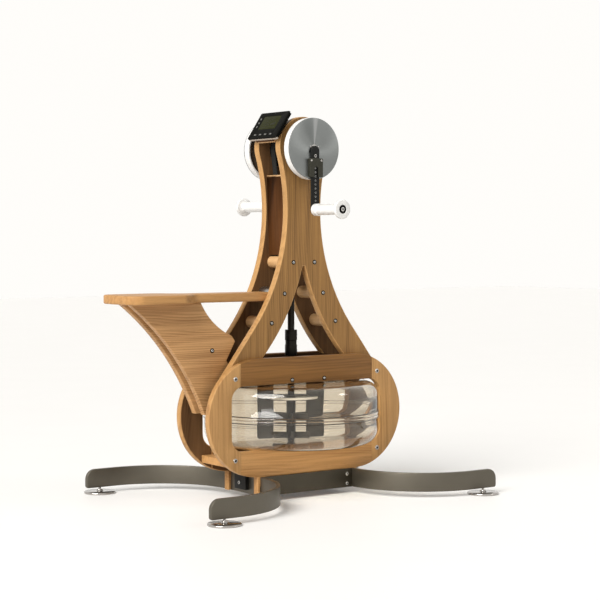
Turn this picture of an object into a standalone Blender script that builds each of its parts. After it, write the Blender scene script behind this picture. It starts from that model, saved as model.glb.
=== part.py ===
"""Upper body ergometer: a wooden crank stand on two steel bows, with a water tank and a seat plank.

Metres, +Z up. The user sits at -X and looks along +X; the right side is -Y. The origin is on the floor
under the middle of the object's outline. All pieces hang from an empty on the tank's upright axis.
"""

import math

import bmesh
import bpy
from mathutils import Matrix, Vector

# Gaps between pieces
CLEAR = 0.0003
RUNNING = 0.0003
SPIN_GAP = 0.0006

# Side plates: one upside-down Y on each side of the drive
PLATE_THICKNESS = 0.0225
PLATE_GAP = 0.086
CRANK_HEIGHT = 1.0157
HEAD_RADIUS = 0.0865
HEAD_RISE = 0.0078
NECK_HALF_WIDTH = 0.060
NECK_SHARE = 0.26041
LEG_WIDTH = 0.0775
LEG_STRAIGHT_HEIGHT = 0.500
LEG_FOOT_LIFT = 0.007
CROTCH_HALF_WIDTH = 0.004

# Ovals: four boards each, round the tank
OVAL_THICKNESS = 0.0215
BOARD_WIDTH = 0.0765
BOARD_JOINT_INSET = 0.0306
WINDOW_END_GAP = 0.0091
WINDOW_EDGE_GAP = 0.0028
WINDOW_CORNER = 0.040

# Spacer dowels between the side plates
DOWEL_RADIUS = 0.018
DOWEL_INSET = 0.042
DOWEL_FIRST_DROP = 0.0650
DOWEL_STEP_ANGLE = 9.1

# Boards inside the frame
DECK_THICKNESS = 0.020
DECK_SINK = 0.0045
DECK_HOLE_RADIUS = 0.0125
SHELF_DROP = 0.025
SHELF_THICKNESS = 0.0215
SHELF_HALF_LENGTH = 0.271
COVER_TOP_DROP = 0.0742
COVER_BOTTOM_DROP = 0.044
COVER_THICKNESS = 0.008
COVER_TOP_RECESS = 0.012
COVER_BOTTOM_RECESS = 0.0265

# Seat
PLANK_LAP = 0.0210
PLANK_THICKNESS = 0.025
PLANK_REACH = 0.593
PLANK_HALF_WIDTH = 0.096
PLANK_NECK_GAP = 0.0005
PLANK_CORNER = 0.043
PLANK_TAPER_START = 0.428
PLANK_TAPER_LENGTH = 0.080
PANEL_THICKNESS = 0.0215
PANEL_OUTER = 0.0348
PANEL_BACK_X = -0.565
PANEL_BACK_RADIUS = 0.734
PANEL_TANK_GAP = 0.021
PANEL_TIP_OUT = 0.0665
PANEL_TIP_RISE = 0.0135
PANEL_SCOOP_OUT = 0.0778
PANEL_SCOOP_IN = 0.0259
PANEL_SCOOP_SHARE = 0.4174
PANEL_SCOOP_RADIUS = 0.200
PANEL_NOSE_IN = 0.0368
PANEL_NOSE_SHARE = 0.3213
PANEL_WAIST_IN = 0.0077
PANEL_WAIST_RISE = 0.075
PANEL_HEEL_IN = 0.0235
PANEL_HEEL_RISE = 0.044
ANCHOR_IN = 0.003
ANCHOR_RISE = 0.0255
ANCHOR_RADIUS = 0.008

# Base: two bent flat bars, two skids, two side bands and a bracket
BAR_THICKNESS = 0.012
BAR_HEIGHT = 0.055
BAR_CLEARANCE = 0.018
BOW_APEX = 0.164
BOW_HALF_WIDTH = 0.339
BOW_REACH = 0.5020
BOW_BEND_START = 0.0027
BOW_END_RADIUS = 0.028
BOW_HEEL_RADIUS = 0.006
SKID_OVERHANG = 0.008
BAND_THICKNESS = 0.004
BRACKET_DEPTH = 0.012
BRACKET_THICKNESS = 0.006
BRACKET_HALF_WIDTH = 0.0285
BRACKET_FLANGE = 0.030
BRACKET_LIFT = 0.012

# Levelling feet
PAD_RADIUS = 0.0465
PAD_THICKNESS = 0.004
PAD_HUB_RADIUS = 0.009
PAD_HUB_HEIGHT = 0.010
PAD_INSET = 0.0455
STEM_RADIUS = 0.004
STEM_TOP = 0.040
STEM_BORE_DEPTH = 0.032

# Water tank
TANK_RADIUS = 0.2575
TANK_BOTTOM = 0.153
TANK_TOP = 0.334
TANK_WALL = 0.004
TANK_LOWER_CORNER = 0.042
TANK_UPPER_CORNER = 0.034
SEAM_DROP = 0.0023
SEAM_HALF_BAND = 0.0082
SEAM_STEP = 0.0028
TANK_HOLE_RADIUS = 0.0125
FOOT_RING_RADIUS = 0.058
FOOT_RING_WALL = 0.007

# Upright drive line
SHAFT_RADIUS = 0.010
COUPLING_RADIUS = 0.018
COUPLING_LENGTH = 0.075
COUPLING_LIFT = 0.003
BEARING_RADIUS = 0.030
BEARING_THICKNESS = 0.006
BEARING_BOSS_RADIUS = 0.0155
BEARING_BOSS_HEIGHT = 0.020
PADDLE_HUB_RADIUS = 0.0138
PADDLE_HUB_TOP = 0.2945
PADDLE_DISC_RADIUS = 0.040
PADDLE_DISC_THICKNESS = 0.004
PADDLE_RADIUS = 0.060
PADDLE_BOTTOM = 0.166
PADDLE_HEIGHT = 0.040
PADDLE_BLADE = 0.004
PADDLE_BLADES = 6

# Belt stage and bevel gears
AXLE_RADIUS = 0.0125
UPPER_PULLEY_RADIUS = 0.0495
LOWER_PULLEY_RADIUS = 0.0165
PULLEY_FLANGE = 0.0045
PULLEY_WIDTH = 0.024
PULLEY_RIM = 0.0018
BELT_THICKNESS = 0.003
BELT_WIDTH = 0.0196
BELT_Y = 0.018
JACK_SHARE = 0.39084
JACK_RADIUS = 0.008
BEVEL_TEETH = 14
BEVEL_INNER_RADIUS = 0.0245
BEVEL_OUTER_RADIUS = 0.0315
BEVEL_TIP_ANGLE = 49.0
BEVEL_ROOT_ANGLE = 39.0
BEVEL_TIP_SHARE = 0.14
BEVEL_ROOT_SHARE = 0.30
BEVEL_HUB_WALL = 0.0065
BEVEL_HUB_BACK = 0.003
BEVEL_NOSE = 0.025
BLOCK_DROP = 0.080
BLOCK_HEIGHT = 0.040

# Cranks
WHEEL_RADIUS = 0.0895
WHEEL_FACE_Y = 0.1158
WHEEL_THICKNESS = 0.025
WHEEL_DISC_THICKNESS = 0.003
WHEEL_GROOVE = 0.0006
WHEEL_EDGE = 0.002
WHEEL_HUB_RADIUS = 0.030
CRANK_LENGTH = 0.1765
CRANK_BAR_WIDTH = 0.028
CRANK_BAR_THICKNESS = 0.006
CRANK_BAR_OVERRUN = 0.008
CRANK_HOLE_RADIUS = 0.0018
CRANK_HOLE_PITCH = 0.0117
CRANK_HOLES = 9
CRANK_FIRST_HOLE = 0.026
LEFT_SETTING = 1
SLEEVE_WIDTH = 0.046
SLEEVE_HEIGHT = 0.054
SLEEVE_DROP = 0.0285
SLEEVE_WEB = 0.0052
SLEEVE_CORNER = 0.003
SLEEVE_WINDOW_WIDTH = 0.014
SLEEVE_WINDOW_HEIGHT = 0.030
GRIP_END_Y = 0.2536
GRIP_RADIUS = 0.0160
GRIP_COLLAR_RADIUS = 0.0178
GRIP_COLLAR_LENGTH = 0.018
GRIP_FLANGE_RADIUS = 0.0275
GRIP_FLANGE_LENGTH = 0.010
GRIP_PIN_RADIUS = 0.006
GRIP_CAP_RADIUS = 0.01225
GRIP_CAP_LENGTH = 0.004

# Console
CONSOLE_LEAN = 33.7
CONSOLE_FLAT_CUT = 0.0015
CONSOLE_BOARD_DROP = 0.0071
CONSOLE_BOARD_THICKNESS = 0.013
CONSOLE_BOARD_LOW = 0.0325
CONSOLE_BOARD_HIGH = 0.034
CONSOLE_WIDTH = 0.145
CONSOLE_HEIGHT = 0.0937
CONSOLE_DEPTH = 0.0111
CONSOLE_RAISE = 0.014
CONSOLE_CORNER = 0.005
SCREEN_WIDTH = 0.085
SCREEN_HEIGHT = 0.046
SCREEN_THICKNESS = 0.002
SCREEN_RAISE = 0.009
BUTTON_WIDTH = 0.015
BUTTON_HEIGHT = 0.007
BUTTON_PITCH = 0.026
BUTTON_DEPTH = 0.005
BUTTON_PROUD = 0.0014
BUTTON_DROP = 0.0345
BUTTON_COUNT = 4

# Derived places
HALF_GAP = PLATE_GAP / 2
PLATE_OUTER = HALF_GAP + PLATE_THICKNESS
OVAL_INNER = PLATE_OUTER + CLEAR
OVAL_OUTER = OVAL_INNER + OVAL_THICKNESS
SKID_Y = OVAL_INNER + OVAL_THICKNESS / 2
BOW_CORNER = BOW_HALF_WIDTH - OVAL_OUTER - BOW_BEND_START
WINDOW_HALF_WIDTH = TANK_RADIUS + WINDOW_END_GAP
WINDOW_HALF_HEIGHT = (TANK_TOP - TANK_BOTTOM) / 2 + WINDOW_EDGE_GAP
OVAL_HEIGHT = (TANK_TOP + TANK_BOTTOM) / 2
OVAL_RADIUS = WINDOW_HALF_HEIGHT + BOARD_WIDTH
OVAL_HALF_STRAIGHT = WINDOW_HALF_WIDTH + BOARD_WIDTH - OVAL_RADIUS
OVAL_TOP = OVAL_HEIGHT + OVAL_RADIUS
OVAL_BOTTOM = OVAL_HEIGHT - OVAL_RADIUS
BOARD_JOINT_X = WINDOW_HALF_WIDTH - BOARD_JOINT_INSET
SEAM_HEIGHT = OVAL_HEIGHT - SEAM_DROP
SHELF_TOP = TANK_BOTTOM - SHELF_DROP
LEG_FOOT_HEIGHT = TANK_TOP + LEG_FOOT_LIFT
STAND_RISE = CRANK_HEIGHT - LEG_FOOT_HEIGHT
NECK_HEIGHT = CRANK_HEIGHT - NECK_SHARE * STAND_RISE
JACK_HEIGHT = CRANK_HEIGHT - JACK_SHARE * STAND_RISE
BLOCK_BOTTOM = JACK_HEIGHT - BLOCK_DROP
BLOCK_TOP = BLOCK_BOTTOM + BLOCK_HEIGHT
COVER_TOP = CRANK_HEIGHT - COVER_TOP_DROP
COVER_BOTTOM = JACK_HEIGHT - COVER_BOTTOM_DROP
FLAT_DISTANCE = HEAD_RADIUS - CONSOLE_FLAT_CUT
CONSOLE_SEAT = FLAT_DISTANCE + HEAD_RISE * math.sin(math.radians(CONSOLE_LEAN))
HEAD_HEIGHT = CRANK_HEIGHT + HEAD_RISE
NECK_DROP = HEAD_HEIGHT - NECK_HEIGHT
LEG_REACH = NECK_HALF_WIDTH**2 + NECK_DROP**2 - HEAD_RADIUS**2
LEG_RADIUS = LEG_REACH / (2 * (HEAD_RADIUS - NECK_HALF_WIDTH))
LEG_CENTRE_X = NECK_HALF_WIDTH + LEG_RADIUS
LEG_INNER_RADIUS = LEG_RADIUS + LEG_WIDTH
BAR_TOP = BAR_CLEARANCE + BAR_HEIGHT
BAR_MIDDLE = BAR_CLEARANCE + BAR_HEIGHT / 2
PAD_X = BOW_REACH - PAD_INSET
AXIS_X = (PLANK_REACH - PAD_X - PAD_RADIUS) / 2
DOWEL_CURVE = LEG_RADIUS + DOWEL_INSET
DOWEL_FIRST_ANGLE = math.degrees(math.asin((NECK_HEIGHT - JACK_HEIGHT + DOWEL_FIRST_DROP) / DOWEL_CURVE))
PLANK_DOWEL_ANGLE = math.radians(DOWEL_FIRST_ANGLE + DOWEL_STEP_ANGLE)
PLANK_BOTTOM = NECK_HEIGHT - DOWEL_CURVE * math.sin(PLANK_DOWEL_ANGLE) - PLANK_LAP
PLANK_TOP = PLANK_BOTTOM + PLANK_THICKNESS
PANEL_WAIST_HEIGHT = TANK_TOP + PANEL_WAIST_RISE
PANEL_DEPTH = PLANK_BOTTOM - PANEL_WAIST_HEIGHT
ANCHOR_X = ANCHOR_IN - TANK_RADIUS
ANCHOR_HEIGHT = TANK_TOP + ANCHOR_RISE
PANEL_INNER = PANEL_OUTER - PANEL_THICKNESS
DECK_TOP = OVAL_TOP - DECK_SINK
COUPLING_BOTTOM = DECK_TOP + COUPLING_LIFT
SHAFT_SPLIT = COUPLING_BOTTOM + COUPLING_LENGTH / 2
WHEEL_BACK_Y = WHEEL_FACE_Y - WHEEL_THICKNESS
BAR_INNER_Y = WHEEL_FACE_Y + 2 * CLEAR
BAR_OUTER_Y = BAR_INNER_Y + CRANK_BAR_THICKNESS
HANDLE_HEIGHTS = {
    "right": CRANK_HEIGHT - CRANK_LENGTH,
    "left": CRANK_HEIGHT - CRANK_LENGTH + LEFT_SETTING * CRANK_HOLE_PITCH,
}
SIDES = {"right": -1, "left": 1}
ENDS = {"rear": -1, "front": 1}

# Colours: linear red, green and blue, then roughness and metallic
FINISHES = {
    "oak": ((0.52, 0.29, 0.11), 0.55, 0.0),
    "dark_board": ((0.09, 0.06, 0.04), 0.60, 0.0),
    "satin_steel": ((0.15, 0.13, 0.11), 0.40, 0.8),
    "dark_steel": ((0.06, 0.06, 0.06), 0.35, 0.9),
    "chrome": ((0.65, 0.65, 0.65), 0.12, 1.0),
    "black_steel": ((0.02, 0.02, 0.02), 0.40, 0.3),
    "clear_plastic": ((0.80, 0.80, 0.76), 0.05, 0.0),
    "black_plastic": ((0.015, 0.015, 0.015), 0.35, 0.0),
    "white_plastic": ((0.82, 0.82, 0.80), 0.30, 0.0),
    "black_rubber": ((0.02, 0.02, 0.02), 0.80, 0.0),
    "screen": ((0.10, 0.11, 0.07), 0.20, 0.0),
    "steel": ((0.45, 0.45, 0.44), 0.30, 1.0),
}


def clear_scene():
    """Remove every object that the scene starts with."""
    for thing in list(bpy.data.objects):
        bpy.data.objects.remove(thing, do_unlink=True)


def make_material(name):
    """Make one Principled material from FINISHES."""
    colour, roughness, metallic = FINISHES[name]
    material = bpy.data.materials.new(name)
    material.use_nodes = True
    shader = material.node_tree.nodes["Principled BSDF"]
    shader.inputs["Base Color"].default_value = (*colour, 1.0)
    shader.inputs["Roughness"].default_value = roughness
    shader.inputs["Metallic"].default_value = metallic
    material.diffuse_color = (*colour, 1.0)
    return material


def empty(name, location, rotation=(0.0, 0.0, 0.0), parent=None):
    """Add an empty that carries other objects."""
    holder = bpy.data.objects.new(name, None)
    bpy.context.collection.objects.link(holder)
    holder.parent = parent
    holder.location = location
    holder.rotation_euler = rotation
    return holder


def finish(name, bm, finish_name, parent, location=(0.0, 0.0, 0.0), smooth=False):
    """Turn a bmesh into a named object with its material."""
    bmesh.ops.recalc_face_normals(bm, faces=bm.faces)
    mesh = bpy.data.meshes.new(name)
    bm.to_mesh(mesh)
    bm.free()
    if smooth:
        mesh.shade_smooth()
        mesh.set_sharp_from_angle(angle=math.radians(35))
    thing = bpy.data.objects.new(name, mesh)
    bpy.context.collection.objects.link(thing)
    thing.parent = parent
    thing.location = location
    if finish_name:
        mesh.materials.append(MATERIALS[finish_name])
    return thing


def as_cutter(thing):
    """Keep an object out of the model: it only cuts another one."""
    thing.hide_render = True
    thing.display_type = "WIRE"
    return thing


def boolean(target, tool, operation="DIFFERENCE"):
    """Apply a tool object to a target with an exact Boolean."""
    as_cutter(tool)
    modifier = target.modifiers.new(tool.name, "BOOLEAN")
    modifier.operation = operation
    modifier.solver = "EXACT"
    modifier.object = tool


def prism_bmesh(outline, low, high, place):
    """Extrude a closed outline of (a, b) points from low to high; place(a, b, c) gives the point."""
    bm = bmesh.new()
    base = [bm.verts.new(place(a, b, low)) for a, b in outline]
    face = bm.faces.new(base)
    grown = bmesh.ops.extrude_face_region(bm, geom=[face])
    moved = [item for item in grown["geom"] if isinstance(item, bmesh.types.BMVert)]
    shift = Vector(place(0, 0, high)) - Vector(place(0, 0, low))
    bmesh.ops.translate(bm, verts=moved, vec=shift)
    return bm


def upright_plate(name, outline, low, high, finish_name, parent, location=(0.0, 0.0, 0.0)):
    """A board whose outline is drawn in X and Z and whose faces lie at Y = low and Y = high."""
    bm = prism_bmesh(outline, low, high, lambda a, b, c: (a, c, b))
    return finish(name, bm, finish_name, parent, location)


def flat_plate(name, outline, low, high, finish_name, parent, location=(0.0, 0.0, 0.0)):
    """A board whose outline is drawn in X and Y and whose faces lie at Z = low and Z = high."""
    bm = prism_bmesh(outline, low, high, lambda a, b, c: (a, b, c))
    return finish(name, bm, finish_name, parent, location)


def pierced_plate(name, outline, holes, low, high, finish_name, parent, location):
    """A board like upright_plate's, with openings whose outlines are filled round in one go."""
    bm = bmesh.new()
    edges = []
    for points in (outline, *holes):
        ring = [bm.verts.new((a, low, b)) for a, b in points]
        edges += [bm.edges.new((ring[i - 1], ring[i])) for i in range(len(ring))]
    filled = bmesh.ops.triangle_fill(bm, edges=edges, use_beauty=True)
    faces = [item for item in filled["geom"] if isinstance(item, bmesh.types.BMFace)]
    grown = bmesh.ops.extrude_face_region(bm, geom=faces)
    moved = [item for item in grown["geom"] if isinstance(item, bmesh.types.BMVert)]
    bmesh.ops.translate(bm, verts=moved, vec=(0, high - low, 0))
    return finish(name, bm, finish_name, parent, location)


def box_outline(half_a, half_b, centre=(0.0, 0.0)):
    """A rectangle's corners."""
    corners = ((-1, -1), (1, -1), (1, 1), (-1, 1))
    return [(centre[0] + a * half_a, centre[1] + b * half_b) for a, b in corners]


def arc(centre, radius, start, end, steps):
    """Points along an arc, both ends included; angles in degrees."""
    span = [math.radians(start + (end - start) * i / steps) for i in range(steps + 1)]
    return [(centre[0] + radius * math.cos(a), centre[1] + radius * math.sin(a)) for a in span]


def rounded_outline(half_a, half_b, radius, centre=(0.0, 0.0), steps=4):
    """A rectangle with equal round corners."""
    points = []
    for a, b, start in ((1, 1, 0), (-1, 1, 90), (-1, -1, 180), (1, -1, 270)):
        corner = (centre[0] + a * (half_a - radius), centre[1] + b * (half_b - radius))
        points += arc(corner, radius, start, start + 90, steps)
    return points


def turned(name, profile, finish_name, parent, location=(0.0, 0.0, 0.0), axis="Z", steps=32):
    """Spin a closed profile of (radius, along) points about an axis through the object's origin."""
    bm = bmesh.new()
    verts = [bm.verts.new((radius, 0.0, along)) for radius, along in profile]
    loop = [(verts[i], verts[(i + 1) % len(verts)]) for i in range(len(verts))]
    on_axis = [radius < 1e-9 for radius, _ in profile]
    edges = [
        bm.edges.new(pair)
        for i, pair in enumerate(loop)
        if not (on_axis[i] and on_axis[(i + 1) % len(verts)])
    ]
    bmesh.ops.spin(
        bm,
        geom=verts + edges,
        cent=(0, 0, 0),
        axis=(0, 0, 1),
        angle=math.tau,
        steps=steps,
        use_merge=True,
    )
    bmesh.ops.remove_doubles(bm, verts=bm.verts, dist=1e-6)
    bmesh.ops.dissolve_degenerate(bm, edges=bm.edges, dist=1e-7)
    if axis == "Y":
        bmesh.ops.rotate(bm, verts=bm.verts, matrix=Matrix.Rotation(math.radians(-90), 3, "X"))
    return finish(name, bm, finish_name, parent, location, smooth=True)


def rod_profile(radius, low, high):
    """The profile of a plain solid rod."""
    return [(0, low), (radius, low), (radius, high), (0, high)]


def tube_profile(radius, bore, low, high):
    """The profile of a plain tube."""
    return [(bore, low), (radius, low), (radius, high), (bore, high)]


def mirrored(points, side):
    """Reflect (a, b) points in a when side is -1."""
    return [(side * a, b) for a, b in points]


def span_of(side, near, far):
    """The low and high Y of a piece between two distances from the middle plane."""
    return (near, far) if side > 0 else (-far, -near)


def leg_x(height, radius):
    """Half width of a side plate's leg curve of a given radius at a height."""
    return LEG_CENTRE_X - math.sqrt(radius**2 - (NECK_HEIGHT - height) ** 2)


def dowel_place(index):
    """X and Z of the dowel of a leg, counted from the top along the leg's middle curve."""
    angle = math.radians(DOWEL_FIRST_ANGLE + index * DOWEL_STEP_ANGLE)
    return LEG_CENTRE_X - DOWEL_CURVE * math.cos(angle), NECK_HEIGHT - DOWEL_CURVE * math.sin(angle)


def leg_side_points(side):
    """One leg's outline from the head's tangent point to the crotch, for x > 0 when side is 1."""
    centre = (LEG_CENTRE_X, NECK_HEIGHT)
    top = 180 - math.degrees(math.atan2(NECK_DROP, LEG_CENTRE_X))
    drop = NECK_HEIGHT - LEG_FOOT_HEIGHT
    straight = math.asin((NECK_HEIGHT - LEG_STRAIGHT_HEIGHT) / LEG_RADIUS)
    slant = (LEG_STRAIGHT_HEIGHT - LEG_FOOT_HEIGHT) * math.tan(straight)
    reach = leg_x(LEG_STRAIGHT_HEIGHT, LEG_RADIUS) + slant
    inner_foot = 180 + math.degrees(math.asin(drop / LEG_INNER_RADIUS))
    apex = 180 + math.degrees(math.acos((LEG_CENTRE_X - CROTCH_HALF_WIDTH) / LEG_INNER_RADIUS))
    outer_curve = arc(centre, LEG_RADIUS, top, 180 + math.degrees(straight), 16)
    outer_curve.append((reach, LEG_FOOT_HEIGHT))
    inner_curve = arc(centre, LEG_INNER_RADIUS, inner_foot, apex, 12)
    return mirrored(outer_curve + inner_curve, side)


def side_plate_outline():
    """Head with a short flat under the console, two curved legs and a crotch."""
    tangent = math.degrees(math.atan2(-NECK_DROP, LEG_CENTRE_X))
    seat = 180 - CONSOLE_LEAN
    half_chord = math.degrees(math.acos(FLAT_DISTANCE / HEAD_RADIUS))
    centre = (0.0, HEAD_HEIGHT)
    over_top = arc(centre, HEAD_RADIUS, tangent, seat - half_chord, 16)
    behind = arc(centre, HEAD_RADIUS, seat + half_chord, 180 - tangent, 4)
    right_leg = leg_side_points(1)
    left_leg = leg_side_points(-1)
    return over_top[1:] + behind[:-1] + left_leg + right_leg[::-1]


def build_side_plates(root):
    """The two side plates, bored for the crank axle and the jack shaft."""
    for label, side in SIDES.items():
        low, high = span_of(side, HALF_GAP, PLATE_OUTER)
        plate = upright_plate(f"{label}_side_plate", side_plate_outline(), low, high, "oak", root)
        for hole, height, radius in (
            ("axle", CRANK_HEIGHT, AXLE_RADIUS),
            ("jack", JACK_HEIGHT, JACK_RADIUS),
        ):
            profile = rod_profile(radius + RUNNING, -PLATE_THICKNESS, PLATE_THICKNESS)
            place = (0, side * (HALF_GAP + PLATE_OUTER) / 2, height)
            cutter = turned(f"{label}_{hole}_cutter", profile, None, root, place, "Y", 24)
            boolean(plate, cutter)


def rail_outline(up):
    """One rail of an oval: the outer edge, then the window's edge; up is 1 for the top rail."""
    end = BOARD_JOINT_X - CLEAR / 2
    turn = math.degrees(math.acos((end - OVAL_HALF_STRAIGHT) / OVAL_RADIUS))
    outer_right = arc((OVAL_HALF_STRAIGHT, 0), OVAL_RADIUS, turn, 90, 5)
    corner_x = WINDOW_HALF_WIDTH - WINDOW_CORNER
    corner = (corner_x, WINDOW_HALF_HEIGHT - WINDOW_CORNER)
    bend = math.degrees(math.acos((end - corner_x) / WINDOW_CORNER))
    inner_right = arc(corner, WINDOW_CORNER, 90, bend, 2)
    half = inner_right + outer_right
    other = [(-a, b) for a, b in half[::-1]]
    return [(a, OVAL_HEIGHT + up * b) for a, b in half + other]


def end_outline(way):
    """One D-shaped end board of an oval; way is 1 for the front end."""
    start = BOARD_JOINT_X + CLEAR / 2
    turn = math.degrees(math.acos((start - OVAL_HALF_STRAIGHT) / OVAL_RADIUS))
    outer = arc((OVAL_HALF_STRAIGHT, 0), OVAL_RADIUS, -turn, turn, 22)
    corner_x = WINDOW_HALF_WIDTH - WINDOW_CORNER
    corner_z = WINDOW_HALF_HEIGHT - WINDOW_CORNER
    bend = math.degrees(math.acos((start - corner_x) / WINDOW_CORNER))
    upper = arc((corner_x, corner_z), WINDOW_CORNER, bend, 0, 5)
    lower = arc((corner_x, -corner_z), WINDOW_CORNER, 0, -bend, 5)
    return [(way * a, OVAL_HEIGHT + b) for a, b in outer + upper + lower]


def build_ovals(root):
    """Four boards round the tank's window on each side."""
    for label, side in SIDES.items():
        low, high = span_of(side, OVAL_INNER, OVAL_OUTER)
        upright_plate(f"{label}_top_rail", rail_outline(1), low, high, "oak", root)
        upright_plate(f"{label}_bottom_rail", rail_outline(-1), low, high, "oak", root)
        for end, way in ENDS.items():
            upright_plate(f"{label}_{end}_end", end_outline(way), low, high, "oak", root)


def build_dowels(root):
    """Three spacers in each leg, clamped between the side plates."""
    half = HALF_GAP - CLEAR
    for end, way in ENDS.items():
        for index, height_name in enumerate(("upper", "middle", "lower")):
            x, z = dowel_place(index)
            metal = end == "rear" and height_name == "middle"
            name = f"{end}_{height_name}_dowel"
            profile = rod_profile(DOWEL_RADIUS, -half, half)
            turned(name, profile, "steel" if metal else "oak", root, (way * x, 0, z), "Y", 24)


def build_inner_boards(root):
    """The deck over the tank, the shelf under it and the belt cover between the side plates."""
    deck_half = leg_x(DECK_TOP, LEG_INNER_RADIUS) - CLEAR
    deck_low = DECK_TOP - DECK_THICKNESS
    outline = box_outline(deck_half, PLATE_OUTER)
    deck = flat_plate("deck_board", outline, deck_low, DECK_TOP, "dark_board", root)
    hole = rod_profile(DECK_HOLE_RADIUS, deck_low - DECK_THICKNESS, DECK_TOP + DECK_THICKNESS)
    boolean(deck, turned("deck_cutter", hole, None, root, steps=24))
    shelf = box_outline(SHELF_HALF_LENGTH, PLATE_OUTER)
    flat_plate("tank_shelf", shelf, SHELF_TOP - SHELF_THICKNESS, SHELF_TOP, "oak", root)
    top_x = COVER_TOP_RECESS - leg_x(COVER_TOP, LEG_RADIUS)
    bottom_x = COVER_BOTTOM_RECESS - leg_x(COVER_BOTTOM, LEG_RADIUS)
    cover = [
        (top_x, COVER_TOP),
        (bottom_x, COVER_BOTTOM),
        (bottom_x + COVER_THICKNESS, COVER_BOTTOM),
        (top_x + COVER_THICKNESS, COVER_TOP),
    ]
    half = HALF_GAP - CLEAR
    upright_plate("belt_cover", cover, -half, half, "oak", root)


def plank_outline():
    """The seat plank from above: a wide tail, a cosine taper and a narrow nose against the dowel."""
    nose_half = HALF_GAP - PLANK_NECK_GAP
    nose_x = -dowel_place(1)[0] - DOWEL_RADIUS - CLEAR
    taper = []
    for i in range(11):
        share = i / 10
        blend = (1 + math.cos(math.pi * share)) / 2
        width = nose_half + (PLANK_HALF_WIDTH - nose_half) * blend
        taper.append((-PLANK_TAPER_START + PLANK_TAPER_LENGTH * share, width))
    corner = (-PLANK_REACH + PLANK_CORNER, PLANK_HALF_WIDTH - PLANK_CORNER)
    upper = arc(corner, PLANK_CORNER, 180, 90, 6) + taper + [(nose_x, nose_half)]
    return upper + [(a, -b) for a, b in upper[::-1]]


def panel_outline():
    """A seat panel from the side: back curve, tip, the tank's side, the heel, the nose and the scoop."""
    top = PLANK_BOTTOM - CLEAR
    tip = (-TANK_RADIUS - PANEL_TIP_OUT, OVAL_HEIGHT + PANEL_TIP_RISE)
    back = arc_between((PANEL_BACK_X, top), tip, PANEL_BACK_RADIUS, 14)
    window_top = OVAL_HEIGHT + WINDOW_HALF_HEIGHT
    tank_side = -TANK_RADIUS - PANEL_TANK_GAP
    heel_x = PANEL_HEEL_IN - TANK_RADIUS
    inner = [
        (tank_side, tip[1]),
        (tank_side, window_top - WINDOW_CORNER),
        (heel_x, window_top + CLEAR),
        (heel_x, TANK_TOP + PANEL_HEEL_RISE),
        (PANEL_WAIST_IN - TANK_RADIUS, PANEL_WAIST_HEIGHT),
        (PANEL_NOSE_IN - TANK_RADIUS, PANEL_WAIST_HEIGHT + PANEL_NOSE_SHARE * PANEL_DEPTH),
    ]
    scoop_start = (-TANK_RADIUS - PANEL_SCOOP_OUT, top)
    scoop_end = (PANEL_SCOOP_IN - TANK_RADIUS, PANEL_WAIST_HEIGHT + PANEL_SCOOP_SHARE * PANEL_DEPTH)
    scoop = arc_between(scoop_start, scoop_end, -PANEL_SCOOP_RADIUS, 8)[::-1]
    return back + inner + scoop


def build_seat(root):
    """The plank, its two panels and the rod that anchors them between the side plates."""
    flat_plate("seat_plank", plank_outline(), PLANK_BOTTOM, PLANK_TOP, "oak", root)
    place = (ANCHOR_X, 0, ANCHOR_HEIGHT)
    for label, side in SIDES.items():
        low, high = span_of(side, PANEL_INNER, PANEL_OUTER)
        panel = upright_plate(f"{label}_seat_panel", panel_outline(), low, high, "oak", root)
        bore = rod_profile(ANCHOR_RADIUS + RUNNING, -PLATE_OUTER, PLATE_OUTER)
        boolean(panel, turned(f"{label}_anchor_bore", bore, None, root, place, "Y", 20))
    half = HALF_GAP - CLEAR
    turned("seat_anchor_rod", rod_profile(ANCHOR_RADIUS, -half, half), "steel", root, place, "Y", 20)


def bow_outline(way):
    """A bent flat bar from above: a flat apex, two bends and two arms that open outwards."""

    def edge(offset):
        centre = (BOW_APEX + BOW_CORNER, BOW_HALF_WIDTH - BOW_CORNER)
        bend = arc(centre, BOW_CORNER + offset, 180, 90, 12)
        half = bend + [(BOW_REACH, BOW_HALF_WIDTH + offset)]
        return [(a, -b) for a, b in half[::-1]] + half

    half_bar = BAR_THICKNESS / 2
    return mirrored(edge(half_bar) + edge(-half_bar)[::-1], way)


def bow_profile(way):
    """The bar's long outline from the side, with a round upper and a small lower corner at its ends."""
    top = (BOW_REACH - BOW_END_RADIUS, BAR_TOP - BOW_END_RADIUS)
    heel = (BOW_REACH - BOW_HEEL_RADIUS, BAR_CLEARANCE + BOW_HEEL_RADIUS)
    points = arc(heel, BOW_HEEL_RADIUS, -90, 0, 3) + arc(top, BOW_END_RADIUS, 0, 90, 6)
    return mirrored(points + [(0, BAR_TOP), (0, BAR_CLEARANCE)], way)


def build_bow(end, way, root):
    """A bow with its two notches for the skids and its two bores for the feet."""
    bow = flat_plate(f"{end}_bow", bow_outline(way), BAR_CLEARANCE, BAR_TOP, "satin_steel", root)
    reach = BOW_HALF_WIDTH + BAR_THICKNESS
    shape = upright_plate(f"{end}_bow_shape", bow_profile(way), -reach, reach, None, root)
    boolean(bow, shape, "INTERSECT")
    notch = box_outline(BAR_THICKNESS, OVAL_THICKNESS / 2 + CLEAR)
    bore_top = BAR_CLEARANCE + STEM_BORE_DEPTH
    bore = rod_profile(STEM_RADIUS + RUNNING, BAR_CLEARANCE - PAD_THICKNESS, bore_top)
    for label, side in SIDES.items():
        lap = (way * BOW_APEX, side * SKID_Y, 0)
        cutter = flat_plate(f"{end}_{label}_notch", notch, BAR_MIDDLE, BAR_TOP + CLEAR, None, root, lap)
        boolean(bow, cutter)
        foot = (way * PAD_X, side * BOW_HALF_WIDTH, 0)
        boolean(bow, turned(f"{end}_{label}_bore", bore, None, root, foot, steps=16))


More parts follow.
